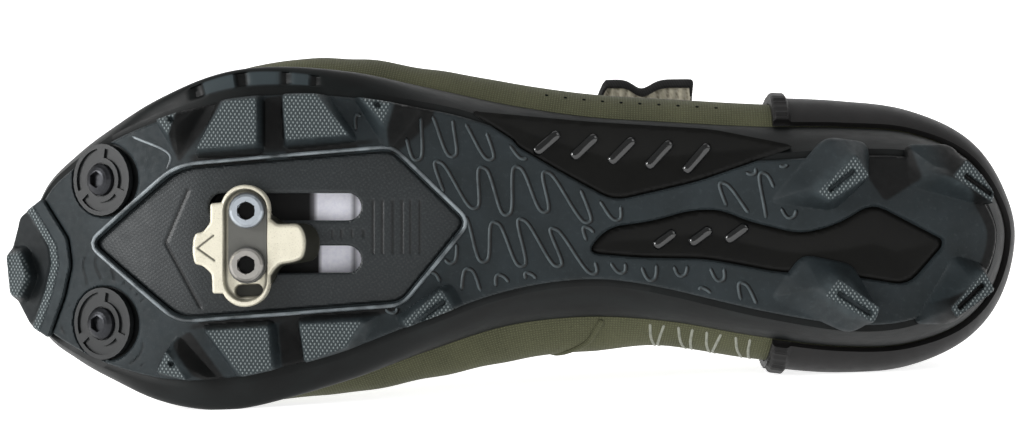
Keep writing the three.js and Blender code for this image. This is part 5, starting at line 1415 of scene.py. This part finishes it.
cleat_points, cleat_faces = cut_sheet(
    cleat_area, (183, -18, 220, 17), 0.2, lambda x, y: cleat_parts(x, y)[0], lambda x, y: 8.2 + 0 * x)
cast = Finish("cleat_cast_steel", srgb(222, 217, 198), 0.42, metal=0.35, flat=True)
cast.tint(cast.fit(cast.noise(220, 4, 0.7), 0.45, 0.75, 0, 0.5), srgb(196, 190, 170))
cast.tint(cast.fit(cast.noise(2600, 2, 0.7), 0.58, 0.7, 0, 0.5), srgb(150, 145, 128))
# Painted shade: the bevel, the small hole, the engraved arrow and the recess's wall are dark.
cast.tint(cast.mark("dark"), srgb(30, 30, 22))
cast.rough(cast.noise(500, 3), 0.34, 0.55)
cast.bump(cast.noise(2200, 3, 0.7), 0.07, 0.7)
piece("cleat_casting", cleat_points, cleat_faces, cast.material, ["cleat"], cleat_points[:, :2],
      cleat_parts(cleat_points[:, 0], cleat_points[:, 1])[1], 35)

# %% [markdown]
# ## Cleat hardware finishes
# The steel parts keep their solids, which are exact, and get metal finishes.

# %% Steel finishes on the frame's own parts
def steel(name, colour, rough_low, rough_high):
    """Metal with fine scratches in one direction and a soft mottling."""
    made = Finish(name, colour, rough_low, metal=0.75)
    made.tint(made.fit(made.noise(140, 5, 0.7), 0.45, 0.8, 0, 0.5), tuple(0.6 * c for c in colour[:3]) + (1,))
    made.rough(made.noise(900, 3, 0.6, (0.08, 1, 1)), rough_low, rough_high)
    made.bump(made.noise(1800, 2, 0.5, (0.06, 1, 1)), 0.02, 0.5)
    return made


washer_steel = steel("washer_dark_steel", srgb(104, 104, 100), 0.35, 0.55)


def bolt_finish(name, colour, side):
    """Steel with painted shade: black within the hexagon's radius of the bolt's axis, where the socket lies, and dark
    in a ring near the rim.
    """
    made = steel(name, colour, 0.25, 0.42)
    parted = made.node("ShaderNodeSeparateXYZ")
    made.put(parted.inputs[0], made.where)
    centre = to_frame([BOLT_X, BOLT_Y + side * 7, 2.0])
    gap = [made.sum(made.sum(parted.outputs[k], float(centre[k]), "SUBTRACT"), 2.0, "POWER") for k in (0, 2)]
    radius = made.sum(made.sum(gap[0], gap[1]), 0.5, "POWER")
    # Painted shade in the hexagon socket.
    made.tint(made.fit(radius, 0.00225, 0.00238, 1, 0), srgb(6, 6, 6))
    # Painted shade in a ring near the head's rim.
    made.tint(made.fit(radius, 0.00415, 0.0044, 0, 0.75), srgb(60, 62, 64))
    return made


outer_steel = bolt_finish("bolt_steel_outer", srgb(186, 194, 202), 1)
inner_steel = bolt_finish("bolt_steel_inner", srgb(168, 165, 160), -1)
dark_steel = steel("stud_black_steel", srgb(44, 45, 48), 0.25, 0.45)
plug_grey = Finish("plug_grey", srgb(22, 24, 25), 0.45, gloss=0.35)
plug_grey.tint(plug_grey.fit(plug_grey.noise(300, 4), 0.45, 0.7, 0, 0.6), srgb(14, 16, 16))
plug_grey.bump(plug_grey.noise(2000, 2), 0.04, 0.6)
HARDWARE = {
    "cleat_washer": washer_steel, "cleat_bolt_outer": outer_steel, "cleat_bolt_inner": inner_steel,
    "stud_screw_outer": dark_steel, "stud_screw_inner": dark_steel, "stud_plug_outer": plug_grey,
    "stud_plug_inner": plug_grey,
}
for name, finish in HARDWARE.items():
    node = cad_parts[name]
    if not node.material_slots:
        node.data.materials.append(finish.material)
    for kept in node.material_slots:
        kept.material = finish.material
print("finished", len(HARDWARE), "kept solids")

# %% [markdown]
# ## Floor, light and camera
# The photograph is a plain studio shot from straight in front of the tread. The camera
# sits on the tread's normal, half a metre away, with the shoe's outer side up.

# %% Stage
floor = bpy.data.meshes.new("floor")
size = 6.0
floor.from_pydata([(-size, -size, 0), (size, -size, 0), (size, size, 0), (-size, size, 0)], [], [(0, 1, 2, 3)])
floor_piece = bpy.data.objects.new("floor", floor)
bpy.context.scene.collection.objects.link(floor_piece)
paper = Finish("studio_paper", (0.86, 0.86, 0.86, 1), 0.9)
paper.tint(paper.fit(paper.noise(3, 2), 0.4, 0.6, 0, 0.2), (0.82, 0.82, 0.82, 1))
paper.shader.inputs["Emission Color"].default_value = (1, 1, 1, 1)
paper.shader.inputs["Emission Strength"].default_value = 0.8
floor.materials.append(paper.material)

back = bpy.data.meshes.new("backdrop")
back.from_pydata([(-5, 3.2, -0.5), (5, 3.2, -0.5), (5, 3.2, 4), (-5, 3.2, 4)], [], [(0, 1, 2, 3)])
back_piece = bpy.data.objects.new("backdrop", back)
bpy.context.scene.collection.objects.link(back_piece)
sky = Finish("studio_backdrop", (0.9, 0.9, 0.9, 1), 0.9)
sky.tint(sky.fit(sky.noise(1, 1), 0.4, 0.6, 0, 0.1), (0.88, 0.88, 0.88, 1))
sky.shader.inputs["Emission Color"].default_value = (1, 1, 1, 1)
sky.shader.inputs["Emission Strength"].default_value = 0.75
back.materials.append(sky.material)

world = bpy.data.worlds.new("studio")
bpy.context.scene.world = world
bpy.context.scene.view_settings.view_transform = "Standard"
world.use_nodes = True
world.node_tree.nodes["Background"].inputs["Color"].default_value = (1, 1, 1, 1)
world.node_tree.nodes["Background"].inputs["Strength"].default_value = 0.26


def softbox(name, place_at, target, width, power):
    """Square area light that points at a target."""
    data = bpy.data.lights.new(name, "AREA")
    data.shape = "SQUARE"
    data.size = width
    data.energy = power
    lamp = bpy.data.objects.new(name, data)
    bpy.context.scene.collection.objects.link(lamp)
    away = np.array(place_at, float) - np.array(target, float)
    lamp.location = place_at
    lamp.rotation_mode = "QUATERNION"
    lamp.rotation_quaternion = Vector(away).to_track_quat("Z", "Y")
    return lamp


softbox("overhead", (0, 0.3, 2.2), (0, 0, 0), 2.4, 12)
softbox("key", (-1.1, -0.62, 0.42), (-0.03, 0, 0.05), 0.5, 13)
softbox("fill", (0.9, -0.9, 0.7), (0, 0, 0.04), 0.8, 3)
print("stage and lights ready")

# %% Camera
FOCAL_PIXELS, IMAGE_WIDTH, SENSOR = 1862.0, 1024.0, 36.0
camera_data = bpy.data.cameras.new("camera")
camera_data.sensor_width = SENSOR
camera_data.lens = FOCAL_PIXELS / IMAGE_WIDTH * SENSOR
camera = bpy.data.objects.new("camera", camera_data)
bpy.context.scene.collection.objects.link(camera)
stand = to_frame([134.8, 6.06, -480.0])
axes = np.column_stack([-TURN[:, 0], TURN[:, 1], -TURN[:, 2]])
matrix = np.eye(4)
matrix[:3, :3] = axes
matrix[:3, 3] = stand
camera.matrix_world = Matrix(matrix.tolist())
bpy.context.scene.camera = camera
print("camera at", np.round(stand, 3), "lens", round(camera_data.lens, 1))
